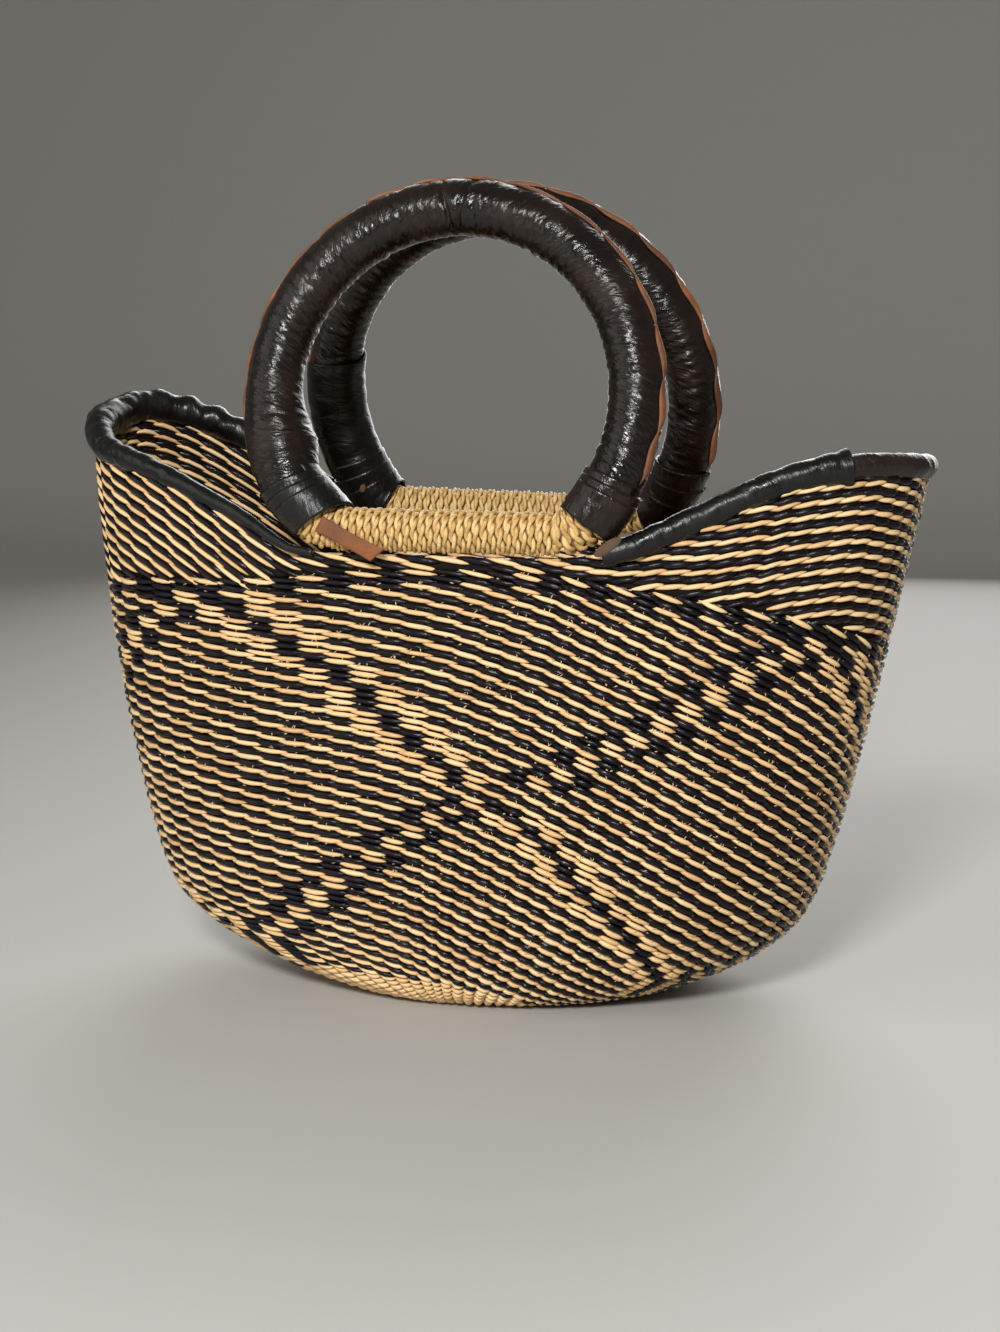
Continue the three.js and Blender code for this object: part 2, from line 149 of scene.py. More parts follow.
def colour_steps(tree, share, *steps):
    colour = add_node(tree, "ValToRGB", "Color", Fac=share)
    ramp = colour.node.color_ramp.elements
    ramp.remove(ramp[1])
    ramp[0].position = steps[0][0]
    ramp[0].color = screen_colour(*steps[0][1])
    for place, shade in steps[1:]:
        ramp.new(place).color = screen_colour(*shade)
    return colour


# %% [markdown]
# ## Floor and light
# A pale sheet runs along the floor and sweeps up behind, so no hard corner shows. The sheet is a
# grid whose far rows are lifted. One small lamp at the front gives the glints, and two wide ones, to
# the left and behind, soften its shadows. The light from behind is kept to a cone round the bag.

# %% Floor sweep
SWEEP_START = 2.0
SWEEP_LIFT = 0.75
SWEEP_PULL = 0.18


def finished_mesh(form, name):
    mesh = bpy.data.meshes.new(name)
    form.to_mesh(mesh)
    form.free()
    return mesh


def make_sweep():
    sheet = bmesh.new()
    bmesh.ops.create_grid(sheet, x_segments=8, y_segments=40, size=4)
    for corner in sheet.verts:
        past_start = max(corner.co.y - SWEEP_START, 0)
        corner.co.z = SWEEP_LIFT * past_start ** 2
        corner.co.y -= SWEEP_PULL * past_start ** 2
    mesh = finished_mesh(sheet, "floor_sweep")
    mesh.shade_smooth()
    floor = bpy.data.objects.new("floor_sweep", mesh)
    bpy.context.collection.objects.link(floor)
    material, tree, shader = start_material("pale_floor")
    set_inputs(tree, shader, Base_Color=screen_colour(194, 193, 187), Roughness=0.7)
    mesh.materials.append(material)
    print("floor sweep:", len(mesh.polygons), "faces")


make_sweep()

# %% Lamps
# Each row: name, place, size in metres, power in watts, spread of the cone in degrees.
LAMPS = (
    ("key_front", (0.2, -1.45, 0.85), 0.28, 22.5, 180),
    ("fill_left", (-1.1, -1.0, 0.7), 1.2, 5, 180),
    ("back_wide", (-0.1, 1.7, 0.8), 1.6, 7, 80),
)
for name, place, size, power, spread in LAMPS:
    lamp = bpy.data.lights.new(name, "AREA")
    lamp.size = size
    lamp.energy = power
    lamp.spread = math.radians(spread)
    stand = bpy.data.objects.new(name, lamp)
    stand.location = place
    stand.rotation_euler = (Vector(place) - SIGHT_POINT).to_track_quat("Z", "Y").to_euler()
    bpy.context.collection.objects.link(stand)

sky = bpy.data.worlds.new("soft_room")
sky.use_nodes = True
glow = sky.node_tree.nodes["Background"]
set_inputs(sky.node_tree, glow, Color=screen_colour(240, 238, 234), Strength=0.2)
bpy.context.scene.world = sky
bpy.context.scene.view_settings.view_transform = "Standard"
print("lamps:", [lamp[0] for lamp in LAMPS])

# %% [markdown]
# ## The shape of the basket
# The wall is an oval that widens from the foot to two raised tips. The same few lengths as in the
# solids describe it here, so every stitch can ask where the wall is and which way it faces. The foot
# is drawn in at both ends, more on the left, and the belly is fullest below the middle.

# %% Wall shape
TIP_HEIGHT = 263.0
WALL = 6.0
BAR_HEIGHT = 203.0
LEVEL_RIM = 192.05
CLIMB_FRONT = math.radians(17)
CLIMB_BACK = math.radians(22)
FOOT_HALF_WIDTH = 114.5
WIDER_AT_TIP = 78
FOOT_HALF_DEPTH = 51
DEEPER_AT_TIP = 8
BELLY_DEPTH = 72
END_DRAWN_IN = (60, 40)
DRAWN_IN_HEIGHT = 50
FOOT_MIDDLE_X = -5.4
TIP_MIDDLE_SHIFT = 9
FOOT_ROUNDNESS = 2.1
SQUARER_AT_TIP = 0.7


def signed_power(value, power):
    return np.sign(value) * np.abs(value) ** power


def outside(angle, height):
    share = np.maximum(height, 0) / TIP_HEIGHT
    across, forth = np.cos(angle), np.sin(angle)
    corner = np.where(across < 0, *END_DRAWN_IN) * np.maximum(1 - height / DRAWN_IN_HEIGHT, 0) ** 2.6
    half_width = FOOT_HALF_WIDTH + WIDER_AT_TIP * share ** 0.47 - corner
    bulge = BELLY_DEPTH * share ** 0.36 * np.maximum(1 - share, 0) ** 1.5
    half_depth = FOOT_HALF_DEPTH + DEEPER_AT_TIP * share + bulge
    power = 2 / (FOOT_ROUNDNESS + SQUARER_AT_TIP * share)
    x = FOOT_MIDDLE_X + TIP_MIDDLE_SHIFT * share ** 3 + half_width * signed_power(across, power)
    y = half_depth * signed_power(forth, power)
    return np.stack(np.broadcast_arrays(x, y, height), axis=-1)


def away_from_middle(angle):
    return np.arcsin(np.clip(np.cos(angle), -1, 1))


def run_along(path):
    return np.concatenate([[0], np.cumsum(np.linalg.norm(np.diff(path, axis=0), axis=1))])


# %% [markdown]
# ## Three lines round the bag
# The rim climbs from the level mouth to both tips. Along the front its heights were read off the
# photograph, and along the back, which is hidden, it follows the solids. The body's weave ends on a
# second line, below the wings, and the plain base ends on a third.

# %% Rim, join and base lines
BACK_CLIMB_AWAY = np.radians((15, 29))
BACK_TIP_RISE = (40, 22)
BACK_SWELL = (10, 0)
FRONT_RIM_AWAY = np.radians((
    -90, -80, -67, -56, -48.7, -43, -38, -33.6, -29.7, -26, -22.8, -19.6, -16.7, -12,
    10, 17.4, 21, 25, 29, 33.4, 38, 43.3, 49.5, 56.4, 65, 79, 90))
FRONT_RIM_RISE = (
    51, 46, 38.8, 35.3, 32.3, 28.9, 25, 20.6, 16.6, 12, 8, 4.3, 1.4, 0,
    0, 3.6, 7, 11.4, 16, 21.8, 27.2, 31.4, 34.2, 35.5, 35.5, 34.3, 33)
JOIN_AWAY = np.radians((-90, -66, -44, -29, -20, -10, 0, 10, 20, 28, 37, 48.5, 63, 86, 90))
JOIN_HEIGHT = (
    172, 175.5, 178.5, 179.8, 181, 184.5, 187, 185.5, 180.8, 177.5, 173.5, 169.5, 163.5, 153.5, 152)
TURN_UP = 10.0
TURN_UP_SLOPE = 0.06


def back_climb(left, away):
    share = np.maximum((away - CLIMB_BACK) / (math.pi / 2 - CLIMB_BACK), 0)
    full = BAR_HEIGHT + np.where(left, *BACK_TIP_RISE) - LEVEL_RIM
    swell = np.where(left, *BACK_SWELL)
    return full * np.sin(share * math.pi / 2) ** 0.5 + swell * np.sin(math.pi * share)


def rim_height(angle):
    left, away = np.cos(angle) < 0, away_from_middle(angle)
    near_bar = (np.abs(away) - BACK_CLIMB_AWAY[0]) / (BACK_CLIMB_AWAY[1] - BACK_CLIMB_AWAY[0])
    run_in = back_climb(left, BACK_CLIMB_AWAY[1]) * np.clip(near_bar, 0, 1)
    back = np.where(near_bar < 1, run_in, back_climb(left, np.abs(away)))
    front = np.interp(away, FRONT_RIM_AWAY, FRONT_RIM_RISE)
    return LEVEL_RIM + np.where(np.sin(angle) > 0, back, front)


def join_height(angle):
    return np.interp(away_from_middle(angle), JOIN_AWAY, JOIN_HEIGHT)


def turn_up_height(angle):
    return TURN_UP - TURN_UP_SLOPE * outside(angle, np.full_like(angle, TURN_UP))[..., 0]


# %% [markdown]
# ## Columns and rows
# Twined straw is counted in columns round the bag and rows up it. Columns are spaced by measuring
# along the belly: they are wider on the left, as in the photograph. Rows are spaced evenly up the
# wall. Column 0 is at the middle of the front, and columns grow to the right.

# %% Columns
COLUMNS = 78
ROWS = 64
BASE_ROWS = 9
BELLY_HEIGHT = 120.0
STITCH_LENGTHS = (13.3, 9.8)
STITCH_LENGTHS_X = (-95, 15)
NEAR_COLUMN = 0.1
NEAR_HEIGHT = 0.4

fine_angles = np.linspace(FRONT, FRONT_AGAIN, 16001)
belly = outside(fine_angles, np.full_like(fine_angles, BELLY_HEIGHT))
belly_steps = np.linalg.norm(np.diff(belly, axis=0), axis=1)
stitch_length = np.interp(belly[1:, 0], STITCH_LENGTHS_X, STITCH_LENGTHS)
fine_columns = np.concatenate([[0], np.cumsum(belly_steps / stitch_length)])
fine_columns *= COLUMNS / fine_columns[-1]
COLUMN_WIDTH = belly_steps.sum() / COLUMNS


def column_angle(column):
    turns = np.floor(column / COLUMNS)
    return np.interp(column - turns * COLUMNS, fine_columns, fine_angles) + turns * FULL_TURN


def angle_column(angle):
    turns = np.floor((angle - FRONT) / FULL_TURN)
    return np.interp(angle - turns * FULL_TURN, fine_angles, fine_columns) + turns * COLUMNS


def column_x(column):
    return np.interp(column, fine_columns, belly[:, 0])


def wall_point(column, height, depth):
    angle = column_angle(column)
    before, after = column_angle(column - NEAR_COLUMN), column_angle(column + NEAR_COLUMN)
    round_wall = outside(after, height) - outside(before, height)
    up_wall = outside(angle, height + NEAR_HEIGHT) - outside(angle, np.maximum(height - NEAR_HEIGHT, 0))
    out = np.cross(round_wall, up_wall)
    out /= np.linalg.norm(out, axis=-1, keepdims=True)
    return outside(angle, height) - np.asarray(depth)[..., None] * out


print("columns of", round(COLUMN_WIDTH, 2), "mm on average")

# %% Rows
TABLE_STEP = 0.25
PATH_POINTS = 200
BASE_CROWDING = 3
table_columns = np.arange(0, COLUMNS, TABLE_STEP)


def row_table(low, high, rows, crowding):
    table = []
    for angle in column_angle(table_columns):
        share = np.linspace(0, 1, PATH_POINTS) ** crowding
        heights = low(angle) + (high(angle) - low(angle)) * share
        run = run_along(outside(np.full_like(heights, angle), heights))
        table.append(np.interp(np.linspace(0, run[-1], rows + 1), run, heights))
    return np.array(table)


def read_table(table, column, row):
    places, rows = table.shape
    at = (column / TABLE_STEP) % places
    left = np.floor(at).astype(int)
    beside = at - left
    low = np.clip(np.floor(row).astype(int), 0, rows - 2)
    above = row - low
    left, right = left % places, (left + 1) % places
    lower = table[left, low] * (1 - beside) + table[right, low] * beside
    upper = table[left, low + 1] * (1 - beside) + table[right, low + 1] * beside
    return lower + (upper - lower) * above


body_table = row_table(turn_up_height, join_height, ROWS, 1)
base_table = row_table(lambda angle: 0 * angle, turn_up_height, BASE_ROWS, BASE_CROWDING)
print("rows of", round(float(np.diff(body_table[0]).mean()), 2), "mm")

# %% [markdown]
# ## Where each part of the weave lies
# Four small functions turn a column, a row and a depth into a place: the body, the shallow start
# above the floor, the flat underside, and the wings, whose rows follow the rim down.

# %% Weave surfaces
WING_ROW = 2.9
GUIDE_AWAY = np.radians((24, 33, 41, 50, 63, 90))
GUIDE_RISE = (0, -3.5, -4.5, -1, 6, 14)
UNDERSIDE_ROWS = 18
BASE_MIDDLE = np.array([4.6, 0.0, 0.0])
LEAST_HEIGHT = 0.02


def body_surface(column, row, depth):
    return wall_point(column, read_table(body_table, column, row), depth)


def start_surface(column, row, depth):
    height = np.maximum(read_table(base_table, column, row), LEAST_HEIGHT)
    return wall_point(column, height, depth)


def underside_surface(column, row, depth):
    edge = outside(column_angle(column), np.zeros_like(column))
    place = BASE_MIDDLE + (edge - BASE_MIDDLE) * (row / UNDERSIDE_ROWS)[..., None]
    place[..., 2] = depth
    return place


def wing_height(column, row):
    angle = column_angle(column)
    guide = rim_height(angle) + np.interp(away_from_middle(angle), GUIDE_AWAY, GUIDE_RISE)
    return guide - row * WING_ROW


def wing_surface(column, row, depth):
    return wall_point(column, wing_height(column, row), depth)


# %% [markdown]
# ## Straw
# A straw is a smooth, slightly shiny stem with fine streaks along it, and no two are quite the same
# colour. Each stitch carries two attributes: a tone of its own, and a grain coordinate that runs
# along the stem, so the streaks follow the straw wherever it goes.

# %% Straw material
TONE_SHARE = 0.6
STREAK_SHARE = 0.5


def straw_material(name, light, middle, deep, roughness, shine):
    material, tree, shader = start_material(name)
    grain = add_attribute(tree, "grain", "Vector")
    tone = add_attribute(tree, "tone", "Fac")
    stretch = add_node(tree, "Mapping", "Vector", Vector=grain, Scale=(0.16, 1.7, 1.7))
    streak = add_node(tree, "TexNoise", "Fac", Vector=stretch, Scale=1.6, Detail=3)
    toned = add_math(tree, "MULTIPLY", tone, TONE_SHARE)
    blend = add_math(tree, "MULTIPLY_ADD", streak, STREAK_SHARE, toned)
    colour = colour_steps(tree, blend, (0.2, light), (0.5, middle), (0.95, deep))
    relief = add_node(tree, "Bump", "Normal", Height=streak, Strength=0.4, Distance=0.0004)
    set_inputs(tree, shader, Base_Color=colour, Normal=relief)
    set_inputs(tree, shader, Roughness=roughness, Specular_IOR_Level=shine)
    return material


pale_straw = straw_material("pale_straw", (254, 224, 172), (236, 194, 138), (170, 108, 60), 0.46, 0.42)
dark_straw = straw_material("dark_straw", (24, 15, 24), (10, 6, 10), (5, 3, 4), 0.23, 0.3)
golden_straw = straw_material("golden_straw", (240, 208, 146), (210, 170, 106), (124, 84, 42), 0.45, 0.4)
# shadow_straw is painted shade: the near-black colour of the wall's core, seen in the gaps between stitches.
shadow_straw = straw_material("shadow_straw", (30, 23, 22), (20, 15, 15), (12, 9, 9), 0.85, 0.1)
print("straws:", pale_straw.name, dark_straw.name, golden_straw.name, shadow_straw.name)

# %% [markdown]
# ## Finishing a piece
# Every piece ends in the same way: its shading is set smooth, its material is set, it becomes an
# object at the origin, it is attached to the body it moves with, and the solids it stands for are hidden.

# %% Finish helpers
STRIPED_WEAVE = "striped_straw_weave"
PLAIN_WEAVE = "pale_straw_weave"


def finish_piece(mesh, name, material, body, slot, *nodes):
    mesh.name = name
    mesh.shade_smooth()
    mesh.materials.clear()
    mesh.materials.append(material)
    piece = bpy.data.objects.new(name, mesh)
    bpy.context.collection.objects.link(piece)
    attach(piece, body)
    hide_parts(*nodes)
    faces = sum(len(p.vertices) - 2 for p in mesh.polygons)
    print(f"{name}: {faces} triangles")


def turn_faces_out(mesh, thickness=0):
    shell = bmesh.new()
    shell.from_mesh(mesh)
    if thickness:
        bmesh.ops.solidify(shell, geom=shell.faces, thickness=thickness * MM)
    bmesh.ops.recalc_face_normals(shell, faces=shell.faces)
    shell.to_mesh(mesh)
    shell.free()


# %% [markdown]
# ## One stitch
# In two-strand twining a straw crosses one upright at a slant and then dives behind the next, so
# what shows is a short spindle. A small sphere with its poles at the spindle's ends has just the
# right faces. It is modelled once, and an Array modifier gives as many copies as a part needs.

# %% Stitch shape
def spindle(sides, rings):
    form = bmesh.new()
    bmesh.ops.create_uvsphere(form, u_segments=sides, v_segments=rings, radius=1)
    return finished_mesh(form, "spindle")


def read_points(mesh):
    flat = np.empty(len(mesh.vertices) * 3, np.float32)
    mesh.vertices.foreach_get("co", flat)
    return flat.reshape(-1, 3).astype(float)


def write_points(mesh, points):
    mesh.vertices.foreach_set("co", (points.reshape(-1, 3) * MM).astype(np.float32).ravel())
    mesh.update()


def many(mesh, count):
    stand = bpy.data.objects.new("many", mesh)
    bpy.context.collection.objects.link(stand)
    copies = stand.modifiers.new("copies", "ARRAY")
    copies.use_relative_offset = False
    copies.count = count
    seen = stand.evaluated_get(bpy.context.evaluated_depsgraph_get())
    made = bpy.data.meshes.new_from_object(seen)
    bpy.data.objects.remove(stand)
    return made


def note_grain(mesh, tone, grain):
    toned = mesh.attributes.new("tone", "FLOAT", "POINT")
    toned.data.foreach_set("value", tone.astype(np.float32).ravel())
    grained = mesh.attributes.new("grain", "FLOAT_VECTOR", "POINT")
    grained.data.foreach_set("vector", grain.astype(np.float32).ravel())


OUTER_STITCH = spindle(6, 7)
INNER_STITCH = spindle(5, 5)
FIBRE = spindle(3, 3)
print("one stitch:", len(OUTER_STITCH.polygons), "faces")

# %% [markdown]
# ## Laying stitches
# Each copy is bent into place. Its thin left end comes up from under the stitch before it, its
# middle lies on the wall's face, and its fuller right end lies over the start of the next one. A
# stitch falls less steeply than the stripe it belongs to, which gives the stripe its rope-like look.
# Towards the left of the bag the stitches also sag. Small random changes keep them from looking
# machine made.

# %% Stitch profile
STITCH_HALF_THICK = 1.3
STITCH_REACH = 0.78
STITCH_FALL = 0.66
HALF_ROW = {"pale_straw": 0.4, "dark_straw": 0.5}
SAG_X = (-150, -20)
SAG_ROWS = (0.42, 0.1)
SAG_LEVEL = 0.35
LEFT_DIVE = 1.9
RIGHT_DIVE = 1.0


def stitch_girth(along):
    blunt = (1 - np.abs(along) ** 3) ** 0.8
    pointed = (1 - np.abs(along) ** 1.9) ** 0.95
    return np.where(along > 0, blunt, pointed)


def stitch_dive(along):
    return np.where(along < 0, LEFT_DIVE * np.abs(along) ** 2, RIGHT_DIVE * np.abs(along) ** 3)


# %% Laying stitches
LENGTH_RANGE = (0.95, 1.05)
FALL_RANGE = (0.9, 1.1)
GIRTH_RANGE = (0.9, 1.1)
LIFT_SPREAD = 0.045
SINK_SPREAD = 0.12
TONE_LEAST = 0.04
TONE_RANGE = 0.7
TONE_LEANING = (1.7, 3.4)
# How much deeper the tone gets at a stitch's ends: partly painted shade, partly browner tips.
END_SHADE_AND_TONE = 0.35
STEM_RADIUS = 1.6
GRAIN_SHIFT = 50


def lay_stitches(name, surface, column, row, reach, slant, within, material, slot, *nodes):
    model = INNER_STITCH if within else OUTER_STITCH
    form = read_points(model)
    count = len(column)
    along = form[:, 2]
    girth = stitch_girth(along) / np.maximum(np.hypot(form[:, 0], form[:, 1]), 1e-6)
    across, proud = form[:, 0] * girth, form[:, 1] * girth
    length = (reach * chance.uniform(*LENGTH_RANGE, count))[:, None] * along
    lift = chance.normal(0, LIFT_SPREAD, count)[:, None]
    fall = (slant * STITCH_FALL * chance.uniform(*FALL_RANGE, count))[:, None]
    fat = chance.uniform(*GIRTH_RANGE, count)[:, None]
    sunk = chance.normal(0, SINK_SPREAD, count)[:, None]
    sag = np.interp(column_x(column), SAG_X, SAG_ROWS) * (np.asarray(slant) < 0)
    at_column = column[:, None] + length
    at_row = row[:, None] + fall * along * STITCH_REACH + lift + across * HALF_ROW[material.name] * fat
    at_row = at_row + sag[:, None] * (along ** 2 - SAG_LEVEL)
    depth = STITCH_HALF_THICK + stitch_dive(along) - proud * STITCH_HALF_THICK * fat + sunk
    if within:
        depth = WALL - depth
    mesh = many(model, count)
    write_points(mesh, surface(at_column, at_row, depth))
    turn_faces_out(mesh)
    own_tone = TONE_LEAST + TONE_RANGE * chance.beta(*TONE_LEANING, count)[:, None]
    # Both ends of each stitch are deepened in tone. This is painted shade where they dive under their
    # neighbours, and partly the browner colour of the straw's tips.
    tone = own_tone + END_SHADE_AND_TONE * np.abs(along) ** 4
    shift = chance.uniform(0, GRAIN_SHIFT, (count, 1, 3))
    stem = np.stack([along * COLUMN_WIDTH * STITCH_REACH, across * STEM_RADIUS, proud * STEM_RADIUS], axis=-1)
    note_grain(mesh, np.clip(tone, 0, 1), stem[None] + shift)
    finish_piece(mesh, name, material, "basket", slot, *nodes)


# %% [markdown]
# ## The pattern
# Natural and near-black straw take turns, so the colours run down to the right in fine stripes.
# Across them go the zigzag bands: here a column keeps its colour for about three rows and its
# neighbour has the other one. A band's legs run from an apex near the mouth down to the base, where
# the plain straw of the start still shows. A falling leg is dark between two pale columns, and a
# rising one is pale between two dark columns.

# %% Pattern
FIRST_APEX = -9.2
BAND_APEXES = (FIRST_APEX, FIRST_APEX + COLUMNS / 3, FIRST_APEX + 2 * COLUMNS / 3)
BAND_TOP_ROW = 61
DARK_TOP_ROW = ROWS - 2
FALLING_ROWS = (5, 9.7, 13.6, 17.1, 20.7, 24.8, 28.9, 30.7, 36.3, 41.8, 47.5, 52.5, 56, 61)
FALLING_COLUMNS = (24.6, 22.3, 20.3, 18.3, 16.8, 15.1, 13.2, 11, 8.9, 7, 5.5, 3.4, 2.2, 0.4)
RISING_ROWS = (5, 9.7, 15, 18.2, 22.9, 26.8, 30, 32.2, 37.9, 42.8, 48.7, 54.7, 58, 61)
RISING_COLUMNS = (26.8, 24.7, 22.4, 20.8, 18.6, 16.9, 14.5, 12.2, 9.8, 7.7, 5.7, 3.5, 2, 0.4)
PLAIN_REACH = 0.62
PLAIN_SLANT = 0.25
PLAIN_X = (-92, -74, -43, -7, 23, 40)
PLAIN_HEIGHT = (0, 13, 15, 13.5, 8, 0)


def grid_places(columns, rows):
    return [part.ravel().astype(float) for part in np.meshgrid(columns, rows, indexing="ij")]


def is_plain(surface, column, row):
    place = surface(column, row, np.zeros(len(column)))
    return place[:, 2] < np.interp(place[:, 0], PLAIN_X, PLAIN_HEIGHT)


def in_stripes(column, row):
    pale = (column + row) % 2 == 0
    for apex in BAND_APEXES:
        falling = np.round(apex + np.interp(row, FALLING_ROWS, FALLING_COLUMNS))
        rising = np.round(apex - np.interp(row, RISING_ROWS, RISING_COLUMNS))
        for leg, pale_gap in ((falling, 1), (rising, 0)):
            gap = (column - leg + COLUMNS / 2) % COLUMNS - COLUMNS / 2
            in_band = (np.abs(gap) <= 1) & (row <= BAND_TOP_ROW)
            pale = np.where(in_band, np.abs(gap) == pale_gap, pale)
    return np.where(row == DARK_TOP_ROW, False, pale)


columns, rows = grid_places(np.arange(COLUMNS), np.arange(ROWS))
plain_places = is_plain(body_surface, columns, rows + 0.5)
pale_places = in_stripes(columns, rows) | plain_places
at_front = (columns < COLUMNS / 4) | (columns >= COLUMNS * 3 / 4)
print("stitches in the body:", len(columns), "of them pale:", int(pale_places.sum()))

# %% Body weave
body_reach = np.where(plain_places, PLAIN_REACH, STITCH_REACH)
body_slant = np.where(plain_places, -PLAIN_SLANT, -1)
SHADES = (("pale", pale_straw, pale_places), ("dark", dark_straw, ~pale_places))
for side, on_side in (("front", at_front), ("back", ~at_front)):
    for shade, material, chosen in SHADES:
        pick = on_side & chosen
        lay_stitches(
            f"body_{side}_{shade}", body_surface, columns[pick], rows[pick] + 0.5, body_reach[pick],
            body_slant[pick], False, material, STRIPED_WEAVE, "body_wall")
        pick = on_side & ~chosen
        lay_stitches(
            f"inside_{side}_{shade}", body_surface, columns[pick] + 0.5, rows[pick] + 0.5, STITCH_REACH,
            1, True, material, STRIPED_WEAVE, "body_wall")

# %% [markdown]
# ## The wings
# The two raised ends are filled with short rows that follow the rim and stop on the line where the
# body weave ends. One or two of these rows run on under the handles along the mouth. The same stitch
# is used, with rows counted down from the rim.

# %% Wing weave
RIGHT_WING = (FRONT + CLIMB_FRONT, BACK - CLIMB_BACK)
LEFT_WING = (BACK + CLIMB_BACK, FRONT_AGAIN - CLIMB_FRONT)
WING_ROWS = (-2, 36)
CLEAR_OF_JOIN = 1.0
CLEAR_OF_RIM = 0.8


def upper_places():
    column, row = grid_places(np.arange(COLUMNS), np.arange(*WING_ROWS))
    angle = column_angle(column)
    height = wing_height(column, row + 0.5)
    kept = (height > join_height(angle) + CLEAR_OF_JOIN) & (height < rim_height(angle) - CLEAR_OF_RIM)
    return column[kept], row[kept], angle[kept]


upper_column, upper_row, upper_angle = upper_places()
on_right = (upper_angle > RIGHT_WING[0]) & (upper_angle < RIGHT_WING[1])
on_left = (upper_angle > LEFT_WING[0]) & (upper_angle < LEFT_WING[1])
for part, there, node in (
    ("right_wing", on_right, "right_wing"),
    ("left_wing", on_left, "left_wing"),
    ("mouth", ~on_right & ~on_left, "body_wall"),
):
    for shade, material, parity in (("pale", pale_straw, 0), ("dark", dark_straw, 1)):
        takes_turn = (upper_column + upper_row) % 2 == parity
        pick = there & takes_turn
        lay_stitches(
            f"{part}_{shade}", wing_surface, upper_column[pick], upper_row[pick] + 0.5, STITCH_REACH,
            1, False, material, STRIPED_WEAVE, node)
        pick = there & ~takes_turn
        lay_stitches(
            f"{part}_inside_{shade}", wing_surface, upper_column[pick] + 0.5, upper_row[pick] + 0.5,
            STITCH_REACH, -1, True, material, STRIPED_WEAVE, node)

# %% [markdown]
# ## The base
# The weaving starts at the middle of the floor in plain natural straw, goes round in ovals and turns
# up into the wall. Ovals get fewer stitches as they get smaller, so each stitch keeps its length.

# %% Turn-up weave
start_columns, start_rows = grid_places(np.arange(COLUMNS), np.arange(BASE_ROWS))
start_plain = is_plain(start_surface, start_columns, start_rows + 0.5)
start_reach = np.where(start_plain, PLAIN_REACH, STITCH_REACH)
start_slant = np.where(start_plain, -PLAIN_SLANT, -1)
start_pale = start_plain | ((start_columns + start_rows - BASE_ROWS) % 2 == 0)
for shade, material, pick, slot in (
    ("pale", pale_straw, start_pale, PLAIN_WEAVE),
    ("dark", dark_straw, ~start_pale, STRIPED_WEAVE),
):
    lay_stitches(
        f"base_turn_up_{shade}", start_surface, start_columns[pick], start_rows[pick] + 0.5,
        start_reach[pick], start_slant[pick], False, material, slot, "base_start")
lay_stitches(
    "base_turn_up_inner", start_surface, start_columns, start_rows + 0.5, start_reach,
    1, True, pale_straw, PLAIN_WEAVE, "base_start")

# %% Underside weave
LEAST_STITCHES = 5


def ring_places():
    column, row, reach = [], [], []
    full = run_along(outside(fine_angles, np.zeros_like(fine_angles)))[-1]
    for ring in range(UNDERSIDE_ROWS):
        share = (ring + 0.5) / UNDERSIDE_ROWS
        count = max(round(full * share / COLUMN_WIDTH), LEAST_STITCHES)
        step = COLUMNS / count
        column.append((np.arange(count) + 0.5 * (ring % 2)) * step)
        row.append(np.full(count, ring + 0.5))
        reach.append(np.full(count, STITCH_REACH * step))
    return np.concatenate(column), np.concatenate(row), np.concatenate(reach)


ring_column, ring_row, ring_reach = ring_places()
for name, slant, within in (("outer", -1, False), ("inner", 1, True)):
    lay_stitches(
        f"base_floor_{name}", underside_surface, ring_column, ring_row, ring_reach,
        slant, within, pale_straw, PLAIN_WEAVE, "base_start")

# %% [markdown]
# ## Frayed fibres and peeping uprights
# Split straw frays: short pale fibres stand up along the upper edge of many natural stitches, and
# here and there the pale upright shows as a dot between two dark stitches. Both are tiny spindles.

# %% Fibres and dots
FIBRE_SIZES = (0.6, 1.4)
FIBRE_TILTS = (-0.06, 0.1)
FIBRE_ASIDE = 0.35
FIBRE_HALF_THICK = 0.25
FIBRE_STANDS_OUT = 0.2
FIBRE_TONES = (0, 0.5)
FIRST_FRAYED_ROW = 4
# Each row: name, where, how many, rows above the stitch's middle, half height, half width, depth.
FIBRES = (
    ("frayed_fibres", pale_places, 2600, 0.38, 0.26, 0.022, 0.3),
    ("upright_dots", ~pale_places, 700, 0.42, 0.13, 0.07, 0.9),
)


def lay_fibres(name, chosen, count, above, tall, wide, depth):
    form = read_points(FIBRE)
    picked = chance.choice(np.flatnonzero(chosen & (rows > FIRST_FRAYED_ROW)), count)
    column = columns[picked] + chance.uniform(-FIBRE_ASIDE, FIBRE_ASIDE, count)
    row = rows[picked] + 0.5 + above
    size = chance.uniform(*FIBRE_SIZES, (count, 1))
    tilt = chance.uniform(*FIBRE_TILTS, (count, 1))
    at_column = column[:, None] + wide * form[:, 0] + tilt * form[:, 2]
    at_row = row[:, None] + tall * size * form[:, 2]
    at_depth = depth + FIBRE_HALF_THICK * form[:, 1] - FIBRE_STANDS_OUT * size * (form[:, 2] + 1)
    mesh = many(FIBRE, count)
    write_points(mesh, body_surface(at_column, at_row, at_depth))
    turn_faces_out(mesh)
    tone = np.repeat(chance.uniform(*FIBRE_TONES, count), len(form))
    note_grain(mesh, tone, np.broadcast_to(form, (count, len(form), 3)))
    finish_piece(mesh, name, pale_straw, "basket", STRIPED_WEAVE, "body_wall")


for kind in FIBRES:
    lay_fibres(*kind)
